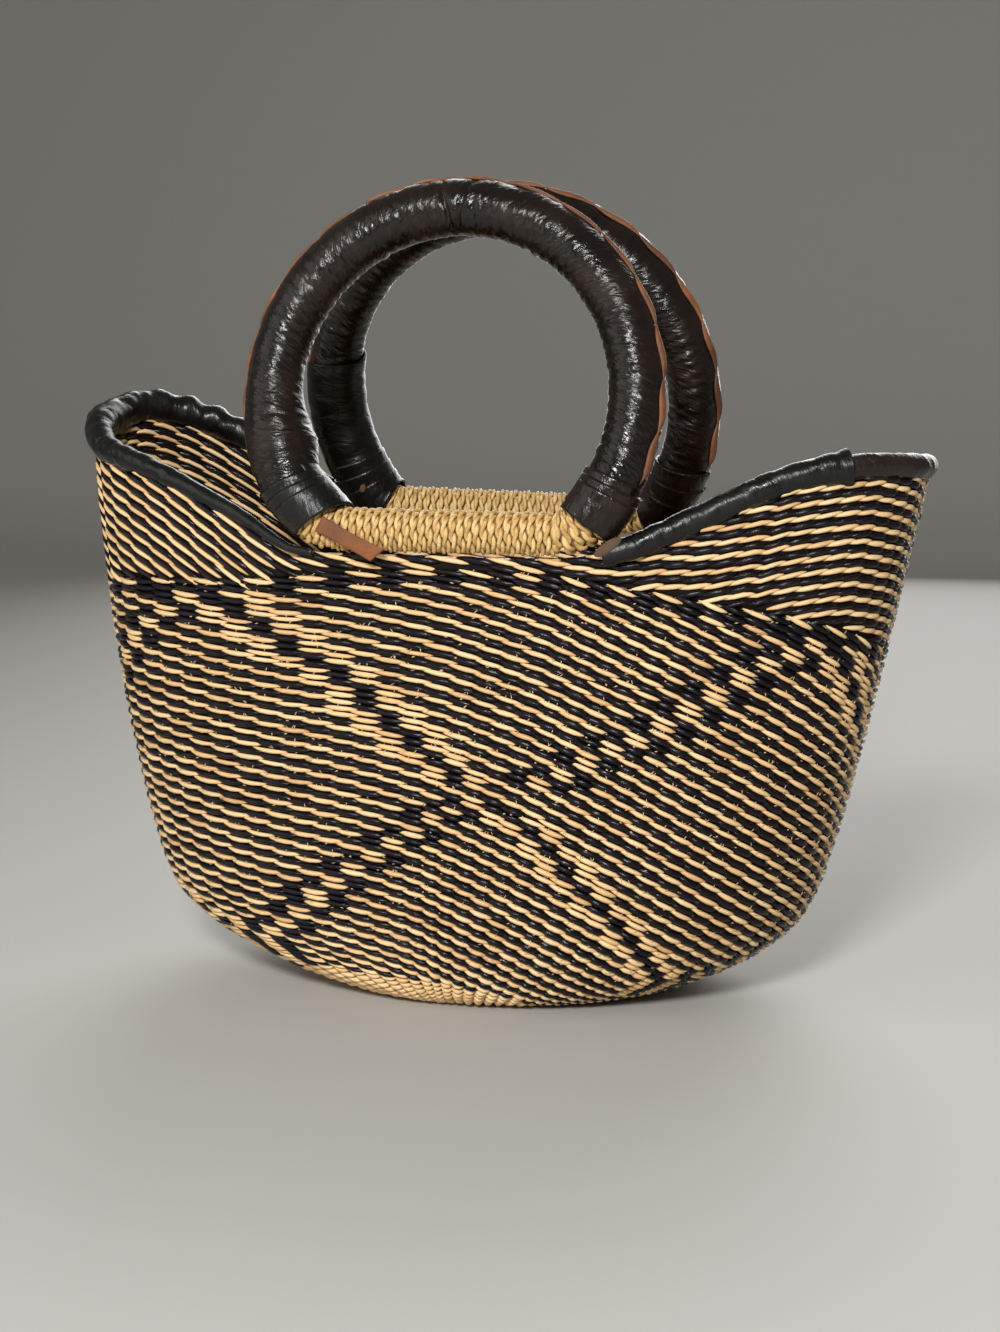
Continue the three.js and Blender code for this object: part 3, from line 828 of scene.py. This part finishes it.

# %% [markdown]
# ## The dark core of the wall
# Between the faces lie the uprights that the straw twines round. They hardly show, but without them
# light would leak through the gaps. A thin closed sheet at mid wall stands for them: a grid that
# goes up the outer side of the core and comes down its inner side. It is coloured near-black as
# painted shade, so the deep gaps between stitches look dark.

# %% Sheet helper
def shaped_sheet(steps, place, hide_size=(1, 1), closed=True, capped=True):
    sheet = bmesh.new()
    hide = sheet.verts.layers.float_vector.new("hide")
    bmesh.ops.create_grid(sheet, x_segments=steps[0], y_segments=steps[1], size=1)
    corners = np.array([v.co[:2] for v in sheet.verts])
    shares = (corners - corners.min(0)) / (corners.max(0) - corners.min(0))
    points = place(shares[:, 0], shares[:, 1]) * MM
    for corner, point, share in zip(sheet.verts, points, shares):
        corner.co = point
        corner[hide] = (*(share * hide_size), 0)
    if closed:
        bmesh.ops.remove_doubles(sheet, verts=sheet.verts, dist=1e-6)
    if capped:
        open_edges = [e for e in sheet.edges if e.is_boundary]
        bmesh.ops.holes_fill(sheet, edges=open_edges, sides=0)
    bmesh.ops.recalc_face_normals(sheet, faces=sheet.faces)
    return finished_mesh(sheet, "sheet")


# %% Core sheets
CORE_DEPTHS = (2.3, 3.7)
CORE_BELOW_JOIN = 0.3
CORE_BELOW_RIM = 0.6
UPPER_STEPS = (80, 30)
FRONT_MOUTH = (LEFT_WING[1] - FULL_TURN, RIGHT_WING[0])
BACK_MOUTH = (RIGHT_WING[1], LEFT_WING[0])


def there_and_back(share):
    going = share < 0.5
    return np.where(going, share, 1 - share) * 2, np.where(going, *CORE_DEPTHS)


def body_core(round_share, up_share):
    rise, depth = there_and_back(up_share)
    return body_surface(round_share * COLUMNS, rise * (ROWS - CORE_BELOW_JOIN), depth)


def base_core(round_share, up_share):
    rise, depth = there_and_back(up_share)
    column = round_share * COLUMNS
    flat = underside_surface(column, np.minimum(rise * 2, 1) * UNDERSIDE_ROWS, depth)
    turned = start_surface(column, np.maximum(rise * 2 - 1, 0) * BASE_ROWS, depth)
    return np.where((rise < 0.5)[:, None], flat, turned)


def upper_core(first_angle, last_angle):
    first, last = angle_column(np.array([first_angle, last_angle]))

    def place(round_share, up_share):
        rise, depth = there_and_back(up_share)
        column = first + (last - first) * round_share
        angle = column_angle(column)
        low, high = join_height(angle), rim_height(angle) - CORE_BELOW_RIM
        return wall_point(column, low + (high - low) * rise, depth)

    return place


# Each row: name, steps along and around, shape, whether its ends are capped, slot, node.
CORES = (
    ("body", (196, 80), body_core, False, STRIPED_WEAVE, "body_wall"),
    ("base", (196, 40), base_core, False, PLAIN_WEAVE, "base_start"),
    ("right_wing", UPPER_STEPS, upper_core(*RIGHT_WING), True, STRIPED_WEAVE, "right_wing"),
    ("left_wing", UPPER_STEPS, upper_core(*LEFT_WING), True, STRIPED_WEAVE, "left_wing"),
    ("front_mouth", UPPER_STEPS, upper_core(*FRONT_MOUTH), True, STRIPED_WEAVE, "body_wall"),
    ("back_mouth", UPPER_STEPS, upper_core(*BACK_MOUTH), True, STRIPED_WEAVE, "body_wall"),
)
for part, steps, place, capped, slot, node in CORES:
    core = shaped_sheet(steps, place, capped=capped)
    finish_piece(core, f"{part}_core", shadow_straw, "basket", slot, node)

# %% [markdown]
# ## Leather
# Glossy brown leather covers the grips, black and browner strips make collars and rims, and lace and
# thong are tan. Thin hide pulled round a bundle gets fine slanting wrinkles, so every sheet carries a
# hide coordinate, in millimetres along and across the skin, and a stretched noise reads it. Fine
# pebbles and rubbed, lighter places come on top.

# %% Leather material
WRINKLE_SLANT = math.radians(24)
RUBBED_GLOSS = -0.05
WORN_DULLNESS = 0.12


def leather_material(name, base, worn, roughness, pebble, wrinkle):
    material, tree, shader = start_material(name)
    place = add_node(tree, "TexCoord", "Object")
    hide = add_attribute(tree, "hide", "Vector")
    slant = add_node(
        tree, "Mapping", "Vector", Vector=hide, Rotation=(0, 0, WRINKLE_SLANT), Scale=(2.6, 8.5, 1))
    slant.node.vector_type = "TEXTURE"
    wrinkles = add_node(tree, "TexNoise", "Fac", Vector=slant, Scale=1, Detail=4, Distortion=0.8)
    pebbles = add_node(tree, "TexVoronoi", "Distance", Vector=place, Scale=1100)
    wear = add_node(tree, "TexNoise", "Fac", Vector=place, Scale=55, Detail=6)
    colour = colour_steps(tree, wear, (0.38, base), (0.78, worn))
    polish = add_node(
        tree, "MapRange", "Result", Value=wear, From_Min=0.35, From_Max=0.65,
        To_Min=roughness + RUBBED_GLOSS, To_Max=roughness + WORN_DULLNESS)
    fine = add_node(tree, "Bump", "Normal", Height=pebbles, Strength=pebble, Distance=0.0003)
    broad = add_node(
        tree, "Bump", "Normal", Height=wrinkles, Normal=fine, Strength=wrinkle, Distance=0.0012)
    set_inputs(tree, shader, Base_Color=colour, Roughness=polish, Normal=broad, Specular_IOR_Level=0.42)
    return material


grip_leather = leather_material("grip_leather", (18, 12, 9), (36, 24, 17), 0.21, 0.08, 0.75)
black_leather = leather_material("black_leather", (10, 10, 9), (22, 21, 20), 0.27, 0.1, 0.4)
brown_leather = leather_material("brown_leather", (26, 18, 14), (48, 34, 27), 0.25, 0.1, 0.5)
lace_leather = leather_material("lace_leather", (98, 62, 40), (168, 110, 70), 0.6, 0.3, 0.2)
thong_leather = leather_material("thong_leather", (116, 72, 46), (176, 108, 60), 0.75, 0.4, 0.1)
raw_edge = leather_material("raw_edge", (76, 57, 43), (116, 92, 70), 0.85, 0.6, 0.3)
print("leathers:", grip_leather.name, black_leather.name, brown_leather.name, lace_leather.name)

# %% [markdown]
# ## Creases made of shape
# Soft leather pulled round a curve gathers in small folds. Bump alone would leave the outline too
# smooth, so the folds are in the mesh. A crease field is a sum of waves with sharp valleys, most of
# them running across the tube, whose heights fade in and out from place to place.

# %% Crease field
FADE_LENGTHS = (25, 70)
FADE_TURNS = (1, 4)
FOLD_ROUNDNESS = 0.8
FOLD_LEVEL = 0.68


def crease_field(shortest, longest, waves, twist):
    lengths = np.exp(chance.uniform(math.log(shortest), math.log(longest), waves))
    turns = chance.integers(-twist, twist + 1, waves)
    starts = chance.uniform(0, FULL_TURN, waves)
    fades = chance.uniform(*FADE_LENGTHS, waves)
    fade_starts = chance.uniform(0, FULL_TURN, waves)
    fade_turns = chance.integers(*FADE_TURNS, waves)

    def height(run, angle):
        total = np.zeros_like(run)
        for length, turn, start, fade, fade_start, fade_turn in zip(
            lengths, turns, starts, fades, fade_starts, fade_turns
        ):
            swell = np.maximum(np.sin(FULL_TURN * run / fade + fade_start + fade_turn * angle), 0)
            wave = np.abs(np.sin(math.pi * run / length + 0.5 * start + turn * angle))
            total += swell * (wave ** FOLD_ROUNDNESS - FOLD_LEVEL) * length / longest
        return total / math.sqrt(waves)

    return height


# %% [markdown]
# ## The ring handles
# Each handle is a thick bundle of straw bent into a ring, with its lower side pressed straight into
# a bar. Both rings are drawn in their own plane and leaned inwards to where they rest. A place on a
# ring is given by its distance from the top, growing to the right.

# %% Ring shape
BAR_HALF_SPAN = 63.5
RING_RISE = 55.0
BEND = 18.0


class Ring:
    def __init__(self, body, radius, offset, depth, lean):
        self.body = body
        self.radius = radius
        self.offset = np.array([offset, depth, BAR_HEIGHT])
        self.lean = lean
        self.bend_x = math.sqrt((radius - BEND) ** 2 - (RING_RISE - BEND) ** 2)
        self.drop = math.atan2(RING_RISE - BEND, self.bend_x)
        self.arc = radius * (math.pi / 2 + self.drop)
        self.end = self.arc + BEND * (math.pi / 2 - self.drop)

    def axis(self, run):
        side, run = np.sign(run), np.abs(run)
        on_arc = run <= self.arc
        turn = np.where(on_arc, math.pi / 2 - run / self.radius, -self.drop - (run - self.arc) / BEND)
        x = np.where(on_arc, self.radius * np.cos(turn), self.bend_x + BEND * np.cos(turn))
        z = np.where(on_arc, RING_RISE + self.radius * np.sin(turn), BEND + BEND * np.sin(turn))
        side = np.where(side == 0, 1, side)
        return side * x, z, side * np.cos(turn), np.sin(turn)

    def place(self, run, out, across):
        x, z, out_x, out_z = self.axis(run)
        return self.stand(x + out * out_x, across, z + out * out_z)

    def straight_place(self, run, out, across):
        on_arc = np.clip(run, -self.arc, self.arc)
        x, z, out_x, out_z = self.axis(on_arc)
        past_arc = run - on_arc
        return self.stand(x + past_arc * out_z + out * out_x, across, z - past_arc * out_x + out * out_z)

    def stand(self, x, y, z):
        c, s = math.cos(self.lean), math.sin(self.lean)
        return np.stack([x, c * y - s * z, s * y + c * z], axis=-1) + self.offset


RINGS = {
    "front": Ring("front_handle", 79.0, -3.4, -BAR_HALF_SPAN, math.radians(-10)),
    "back": Ring("back_handle", 85.0, -8.4, BAR_HALF_SPAN, math.radians(15)),
}
SIDES = {"left": -1, "right": 1}
for name, ring in RINGS.items():
    print(name, "ring: bar of", round(2 * ring.bend_x), "mm, half round", round(ring.end), "mm")

# %% [markdown]
# ## Leather covers
# A tube of thin leather is drawn over the ring and sewn along its outer edge. It is a grid rolled
# into a tube. The creases are deepest on the inner side of the curve, where the leather has too
# much length, and two long puckers meet in a V at the top. Just above its left collar the front
# cover is baggy.

# %% Covers
COVER_RADIUS = 11.7
COVER_UNDER_COLLAR = 9.0
COVER_FOLD = 1.2
COVER_STEPS = (640, 48)
BAGGY = {"front": 5.4, "back": 0.0}
BAGGY_ABOVE_ARC = 29
BAGGY_LENGTH = 17
PUCKER_DEPTH = 0.9
PUCKER_WIDTH = 1.0
PUCKER_GAP = 1.0
PUCKER_LEAN = 5.5


def cover_shape(ring, baggy):
    fine = crease_field(3.0, 7.5, 34, 2)
    broad = crease_field(9.0, 30.0, 12, 1)
    half = ring.arc - COVER_UNDER_COLLAR

    def place(along_share, round_share):
        run = (2 * along_share - 1) * half
        angle = round_share * FULL_TURN
        inner = 0.5 - 0.5 * np.cos(angle)
        gather = 0.55 + 0.45 * inner
        radius = COVER_RADIUS + COVER_FOLD * gather * fine(run, angle) + COVER_FOLD * broad(run, angle)
        near_bag = np.exp(-((run + ring.arc - BAGGY_ABOVE_ARC) / BAGGY_LENGTH) ** 2)
        radius += baggy * (0.25 + 0.75 * inner) * near_bag
        lean_line = PUCKER_LEAN * (1 - inner) + PUCKER_GAP
        for side in SIDES.values():
            pucker = np.exp(-((run - side * lean_line) / PUCKER_WIDTH) ** 2)
            radius -= PUCKER_DEPTH * pucker * np.maximum(np.sin(angle), 0)
        return ring.place(run, radius * np.cos(angle), -radius * np.sin(angle))

    return place


for name, ring in RINGS.items():
    cover_hide = (2 * ring.arc, FULL_TURN * COVER_RADIUS)
    tube = shaped_sheet(COVER_STEPS, cover_shape(ring, BAGGY[name]), cover_hide)
    finish_piece(tube, f"{name}_grip_cover", grip_leather, ring.body, "grip_leather", f"{name}_handle_cover")

# %% [markdown]
# ## Lace along the seam
# The seam of the cover is closed with tan lace. Between two holes the lace bulges into a long leaf,
# and at each hole it is pulled thin. A sheet wrapped to a flat oval gets that rhythm from a sine.
# The seam is on the outer edge at the top of the ring and turns a little to the front further down.

# %% Lace
LEAF_LENGTH = 20.0
LACE_ABOVE_ARC = 19
LACE_GIRTH = 9
LACE_STEPS = (480, 10)
LACE_PROUD = 0.35
LACE_SWAY = 0.9
SEAM_TURN_TOP = math.radians(4)
SEAM_TURN_MORE = math.radians(22)


def lace_shape(ring):
    half = ring.arc - LACE_ABOVE_ARC
    leaves = round(2 * half / LEAF_LENGTH)

    def place(along_share, round_share):
        run = (2 * along_share - 1) * half
        angle = round_share * FULL_TURN
        bulge = np.abs(np.sin(math.pi * leaves * along_share)) ** 0.8
        sway = LACE_SWAY * np.sin(FULL_TURN * leaves * along_share)
        wide = 0.5 + 2.0 * bulge
        high = 0.35 + 0.65 * bulge
        ends = np.clip(np.minimum(along_share, 1 - along_share) * 60, 0.15, 1)
        proud = COVER_RADIUS + LACE_PROUD + high * ends * np.cos(angle)
        aside = sway + wide * ends * np.sin(angle)
        seam = SEAM_TURN_TOP + SEAM_TURN_MORE * (run / ring.arc) ** 2
        c, s = np.cos(seam), np.sin(seam)
        return ring.place(run, proud * c - aside * s, -proud * s - aside * c)

    return place


for name, ring in RINGS.items():
    lace = shaped_sheet(LACE_STEPS, lace_shape(ring), (2 * ring.arc, LACE_GIRTH))
    finish_piece(lace, f"{name}_seam_lace", lace_leather, ring.body, "tan_leather", f"{name}_handle_lace")

# %% [markdown]
# ## Collars
# A strip of leather is wound round the foot of each ring, over the end of the cover, as a short
# cuff. It really is wound here: a long flat grid follows a screw line round the handle, each turn
# lapping the one before, and is then given the thickness of leather. The front cuffs stand straight
# off the end of the ring, and the back ones follow its bend down to the bar.

# %% Wound strips
STRIP_THICK = 1.1
STRIP_STEPS = (190, 12)
STRIP_TURN_LENGTH = 80
STRIP_LAP = 0.9
STRIP_RIPPLE = 0.9
CUFF_RADIUS = 12.3


def wound_strip(to_place, side, turns, width, first, last, flare, inward, first_angle):
    ripple = crease_field(4.0, 12.0, 10, 1)

    def place(along_share, across_share):
        angle = first_angle + FULL_TURN * turns * along_share
        run = first + (last - first - width) * along_share + width * across_share
        lap = STRIP_LAP * (1 - across_share) + STRIP_RIPPLE * ripple(run, angle)
        down = (run - first) / (last - first)
        radius = CUFF_RADIUS + lap + flare * down
        return to_place(side * run, radius * np.cos(angle) - inward * down, -radius * np.sin(angle))

    return place


def thick_strip(steps, place, hide_size, thickness):
    mesh = shaped_sheet(steps, place, hide_size, closed=False, capped=False)
    turn_faces_out(mesh, thickness)
    return mesh


# %% Collars
# Each row: foot, leather, turns, strip width, reach above and below the end of the arc, flare, shift
# towards the bar, first angle.
COLLARS = (
    ("front_left", black_leather, 3.2, 13.0, 16.0, 11.0, 0.3, 5.0, 2.4),
    ("front_right", brown_leather, 2.3, 15.0, 18.0, 5.0, 1.2, 0.0, 0.6),
    ("back_left", black_leather, 2.8, 15.0, 19.0, 14.5, -0.6, 0.0, 1.2),
    ("back_right", brown_leather, 2.6, 15.0, 19.0, 17.0, 0.0, 0.0, 0.2),
)
for name, material, turns, width, above, below, flare, inward, first_angle in COLLARS:
    handle, hand = name.split("_")
    ring = RINGS[handle]
    to_place = ring.straight_place if handle == "front" else ring.place
    winding = wound_strip(
        to_place, SIDES[hand], turns, width, ring.arc - above, ring.arc + below, flare, inward, first_angle)
    strip = thick_strip(STRIP_STEPS, winding, (turns * STRIP_TURN_LENGTH, width), STRIP_THICK)
    finish_piece(strip, f"{name}_collar_strip", material, ring.body, "rim_leather", f"{name}_collar")

# %% [markdown]
# ## Straw lashing
# The bars are held to the mouth by straw cord, wound turn beside turn. The cord is two plies twisted
# together, and that twist gives the herringbone look. Each ply is a tube bent twice: round its
# partner, and with it round the bar. A few more turns go round each bend, up into the collar.

# %% Cord plies
CORD_PITCH = 3.35
PLY_RADIUS = 0.93
PLY_OFFSET = 0.8
TWISTS_PER_TURN = 4.29
STEPS_PER_TURN = 56
PLY_SIDES = 6
GRAIN_FINENESS = 0.8


def ply_shape(to_place, first, last, cord_lines, ply):
    turns = (last - first) / CORD_PITCH

    def place(along_share, round_share):
        turn = FULL_TURN * turns * along_share
        twist = TWISTS_PER_TURN * turn + ply * math.pi
        skin = FULL_TURN * round_share
        cord_line = np.interp(along_share, (0, 1), cord_lines)
        sideways = PLY_OFFSET * np.cos(twist) + PLY_RADIUS * np.cos(skin)
        outwards = cord_line + PLY_OFFSET * np.sin(twist) + PLY_RADIUS * np.sin(skin)
        run = first + (last - first) * along_share + sideways
        return to_place(run, outwards * np.cos(turn), outwards * np.sin(turn))

    mesh = shaped_sheet((round(turns * STEPS_PER_TURN), PLY_SIDES), place)
    points = read_points(mesh) / MM
    x, y, z = points.T
    tone = 0.3 + 0.25 * np.sin(x * 0.9) * np.sin(z * 0.5) + 0.2 * np.sin(y * 1.7)
    note_grain(mesh, np.clip(tone, 0, 1), points * GRAIN_FINENESS)
    return mesh


def bar_place(ring, inward, sinks):
    def place(run, out, across):
        sink = np.interp(run, (-ring.bend_x, ring.bend_x), sinks)
        return np.stack([run, inward * out, across - sink], axis=-1) + ring.offset

    return place


def bend_place(ring, side):
    return lambda run, out, across: ring.place(side * run, out, across)


# %% Lashings
# Each row: handle, way of winding, how far the cord sinks and its distance from the axis at both ends.
LASHINGS = (
    ("front", 1, (0.8, 1.2), (7.8, 7.6)),
    ("back", -1, (0.0, 1.4), (8.8, 7.4)),
)
BEND_CORD_LINES = (8.6, 8.2)
for name, inward, sinks, cord_lines in LASHINGS:
    ring = RINGS[name]
    half = ring.bend_x + 1
    for ply in (0, 1):
        cord = ply_shape(bar_place(ring, inward, sinks), -half, half, cord_lines, ply)
        finish_piece(
            cord, f"{name}_lashing_ply_{ply + 1}", golden_straw, "basket", "lashing_straw",
            f"{name}_bar_lashing")
        for hand, side in SIDES.items():
            cord = ply_shape(bend_place(ring, side), ring.arc - 1, ring.end - 1, BEND_CORD_LINES, ply)
            finish_piece(
                cord, f"{name}_{hand}_bend_ply_{ply + 1}", golden_straw, ring.body, "lashing_straw",
                f"{name}_{hand}_collar")

# %% [markdown]
# ## Leather on the rims
# The wing edges are bound with a roll of leather. A closed section follows the rim's own line, with
# gathers where the rim turns. It is fullest at the tips. Towards a collar the roll gets thin, lies
# over on the outer face of the wall and ends under the collar.

# %% Rim line
LINE_POINTS = 500


def rim_line(span):
    angles = np.linspace(*span, LINE_POINTS)
    column = angle_column(angles)
    height = rim_height(angles)
    mid_wall = np.full(LINE_POINTS, WALL / 2)
    edge = wall_point(column, height, mid_wall)
    lower = wall_point(column, height - 2, mid_wall)
    along = np.gradient(edge, axis=0)
    along /= np.linalg.norm(along, axis=1, keepdims=True)
    up = edge - lower
    up -= (up * along).sum(1, keepdims=True) * along
    up /= np.linalg.norm(up, axis=1, keepdims=True)
    return edge, np.cross(along, up), up, run_along(edge)


# %% Rim rolls
TAIL_LENGTH = 42.0
TAIL_NARROWS = 0.3
TAIL_OUT = 6.5
TAIL_DOWN = 3.5
ROLL_UP = 3.0
ROLL_HANGS = 0.25
ROLL_WRINKLE = 0.32
RUFFLE_AT = 0.24
RUFFLE_REACH = 0.2
RUFFLE_LENGTH = 13


def roll_shape(span, tails, girths, ruffle):
    edge, side, up, run = rim_line(span)
    wrinkle = crease_field(5.0, 18.0, 12, 1)
    share = np.linspace(0, 1, LINE_POINTS)

    def place(along_share, round_share):
        def at(values):
            return np.stack([np.interp(along_share, share, values[:, i]) for i in range(3)], axis=-1)

        angle = FULL_TURN * round_share - math.pi / 2
        here = np.interp(along_share, share, run)
        left_over = np.full_like(here, TAIL_LENGTH)
        if tails[0]:
            left_over = np.minimum(left_over, here)
        if tails[1]:
            left_over = np.minimum(left_over, run[-1] - here)
        tail = np.clip(1 - left_over / TAIL_LENGTH, 0, 1)
        tail = tail * tail * (3 - 2 * tail)
        skin = np.interp(along_share, np.linspace(0, 1, len(girths)), girths)
        skin = skin * (1 + ROLL_WRINKLE * wrinkle(here, angle))
        gather = ruffle * np.clip(1 - np.abs(along_share - RUFFLE_AT) / RUFFLE_REACH, 0, 1)
        skin = skin + gather * np.sin(FULL_TURN * here / RUFFLE_LENGTH) * np.maximum(np.sin(angle), 0)
        wide = skin * (1 - TAIL_NARROWS * tail)
        drop = np.where(np.sin(angle) < 0, 1 + ROLL_HANGS - ROLL_HANGS * tail, 1)
        section_side = wide * np.cos(angle) + TAIL_OUT * tail
        section_up = skin * np.sin(angle) * drop + ROLL_UP - TAIL_DOWN * tail
        return at(edge) + section_side[:, None] * at(side) + section_up[:, None] * at(up)

    return place


# %% Rim bindings
ROLL_STEPS = (360, 24)
ROLL_HIDE = (190, 30)
LAP_ANGLE = FRONT + math.radians(52)
BACK_TAIL = math.radians(17)
left_span = (BACK + BACK_TAIL, FRONT_AGAIN - math.radians(13))
right_front_span = (FRONT + math.radians(15.5), LAP_ANGLE + math.radians(2.5))
right_end_span = (LAP_ANGLE - math.radians(1.5), BACK - BACK_TAIL)
# Each row: name, span, which ends run out thin, girths along the roll, ruffle, leather.
BINDINGS = (
    ("left_rim_binding", left_span, (True, True),
     (1.6, 4.8, 6.2, 6.4, 6.7, 7.4, 5.9, 4.9, 4.1, 3.2, 1.4), 1.1, black_leather),
    ("right_front_binding", right_front_span, (True, False),
     (4.7, 5.0, 5.0, 5.0, 5.1, 5.5, 6.9), 0.0, black_leather),
    ("right_end_binding", right_end_span, (False, True),
     (4.5, 4.5, 4.8, 4.9, 4.6, 4.3, 3.7, 1.5), 0.0, brown_leather),
)
for name, span, tails, girths, ruffle, material in BINDINGS:
    roll = shaped_sheet(ROLL_STEPS, roll_shape(span, tails, girths, ruffle), ROLL_HIDE)
    finish_piece(roll, f"{name}_roll", material, "basket", "rim_leather", name)

# %% [markdown]
# ## Straw that stays inside
# The bundles in the rims and rings are hidden by leather, apart from a little of the bars. The rings'
# solids have the right shape, so they stay, with a straw finish that reads the piece's own space.
# The straw in the rims follows the rolls and thins out with them.

# %% Straw bundles
def bundle_material():
    material, tree, shader = start_material("bundle_straw")
    place = add_node(tree, "TexCoord", "Object")
    stretch = add_node(tree, "Mapping", "Vector", Vector=place, Scale=(60, 700, 700))
    streak = add_node(tree, "TexNoise", "Fac", Vector=stretch, Scale=1)
    colour = colour_steps(tree, streak, (0.3, (120, 88, 52)), (0.7, (190, 150, 96)))
    relief = add_node(tree, "Bump", "Normal", Height=streak, Strength=0.4, Distance=0.0005)
    set_inputs(tree, shader, Base_Color=colour, Normal=relief, Roughness=0.65)
    return material


bundle_straw = bundle_material()
for node in ("front_handle_core", "back_handle_core"):
    bundle = frame["nodes"][node]
    bundle.data.materials.clear()
    bundle.data.materials.append(bundle_straw)

RIM_STRAW_STEPS = (240, 12)
RIM_STRAW = (
    ("left_rim", left_span, (0.7, 2.8, 3.3, 3.4, 3.4, 3.2, 2.7, 2.3, 1.8, 1.3, 0.5)),
    ("right_rim", (right_front_span[0], right_end_span[1]),
     (1.8, 2.4, 2.8, 2.8, 2.8, 2.8, 2.7, 2.5, 2.0, 0.6)),
)
for name, span, girths in RIM_STRAW:
    straw = shaped_sheet(RIM_STRAW_STEPS, roll_shape(span, (True, True), girths, 0.0))
    finish_piece(straw, f"{name}_straw", bundle_straw, "basket", "straw_bundle", f"{name}_core")

# %% [markdown]
# ## Small leather pieces
# A smooth patch is lapped over the foot of the back ring, and a thong of tan leather that ties the
# front left collar hangs out over the lashing with a slanting cut.

# %% Grip patch
PATCH_ABOVE_ARC = (14, 70)
PATCH_EDGE_SLANT = 9.0
PATCH_FIRST_ANGLE = math.radians(35)
PATCH_ANGLE = math.radians(290)
PATCH_PROUD = 1.0
PATCH_RIPPLE = 0.9
PATCH_THICK = 1.0
PATCH_STEPS = (60, 40)
PATCH_HIDE = (56, 62)


def patch_shape(ring):
    ripple = crease_field(5.0, 16.0, 10, 1)
    low, high = (ring.arc - above for above in PATCH_ABOVE_ARC)

    def place(along_share, round_share):
        edge = PATCH_EDGE_SLANT * (round_share - 0.5)
        run = -(low + (high - edge - low) * along_share)
        angle = PATCH_FIRST_ANGLE + PATCH_ANGLE * round_share
        radius = COVER_RADIUS + PATCH_PROUD + PATCH_RIPPLE * ripple(run, angle)
        return ring.place(run, radius * np.cos(angle), -radius * np.sin(angle))

    return place


patch = thick_strip(PATCH_STEPS, patch_shape(RINGS["back"]), PATCH_HIDE, PATCH_THICK)
finish_piece(patch, "back_grip_lap", black_leather, "back_handle", "grip_leather", "back_grip_patch")

# %% Thong
THONG_START = np.array([-54.7, -74.0, 204.9])
THONG_SLOPE = math.radians(-26)
THONG_LENGTH = 30.0
THONG_WIDTH = 7.4
THONG_CUT = 3.0
THONG_THICK = 1.6
THONG_STEPS = (24, 8)
THONG_HIDE = (30, 7)


def thong_shape(along_share, across_share):
    run = along_share * (THONG_LENGTH - THONG_CUT * (1 - across_share))
    across = (across_share - 0.5) * THONG_WIDTH * (1 - 0.1 * np.sin(3 * along_share))
    c, s = math.cos(THONG_SLOPE), math.sin(THONG_SLOPE)
    x = run * c - across * s
    z = run * s + across * c
    y = -0.8 * np.sin(2.6 * along_share) - 0.5 * np.sin(math.pi * across_share)
    return np.stack([x, y, z], axis=-1) + THONG_START


thong = thick_strip(THONG_STEPS, thong_shape, THONG_HIDE, THONG_THICK)
finish_piece(thong, "front_thong", thong_leather, "basket", "tan_leather", "front_thong_end")

# %% [markdown]
# ## Cut ends
# Where the front right binding starts, its slanting cut shows the raw brown inside of the hide. The
# knot of the back left collar peeps out as a small tan oval. Both are flattened spheres.

# %% Raw end and knot
def flat_oval(middle, long_way, facing, half_sizes):
    mesh = spindle(24, 12)
    long_way = Vector(long_way).normalized()
    facing = (facing - facing.dot(long_way) * long_way).normalized()
    ways = np.array([long_way, facing.cross(long_way), facing])
    write_points(mesh, middle + read_points(mesh) * half_sizes @ ways)
    return mesh


raw_end = flat_oval((67.8, -69.7, 197.8), (0.82, 0.12, 0.56), towards_eye, (6.6, 2.2, 1.1))
finish_piece(raw_end, "right_binding_cut_end", raw_edge, "basket", "rim_leather", "right_front_binding")
knot = flat_oval((-79.5, 45.8, 212.6), (0.3, 0.0, 1.0), towards_eye, (2.1, 1.4, 1.0))
finish_piece(knot, "back_collar_knot", raw_edge, "back_handle", "rim_leather", "back_left_collar")
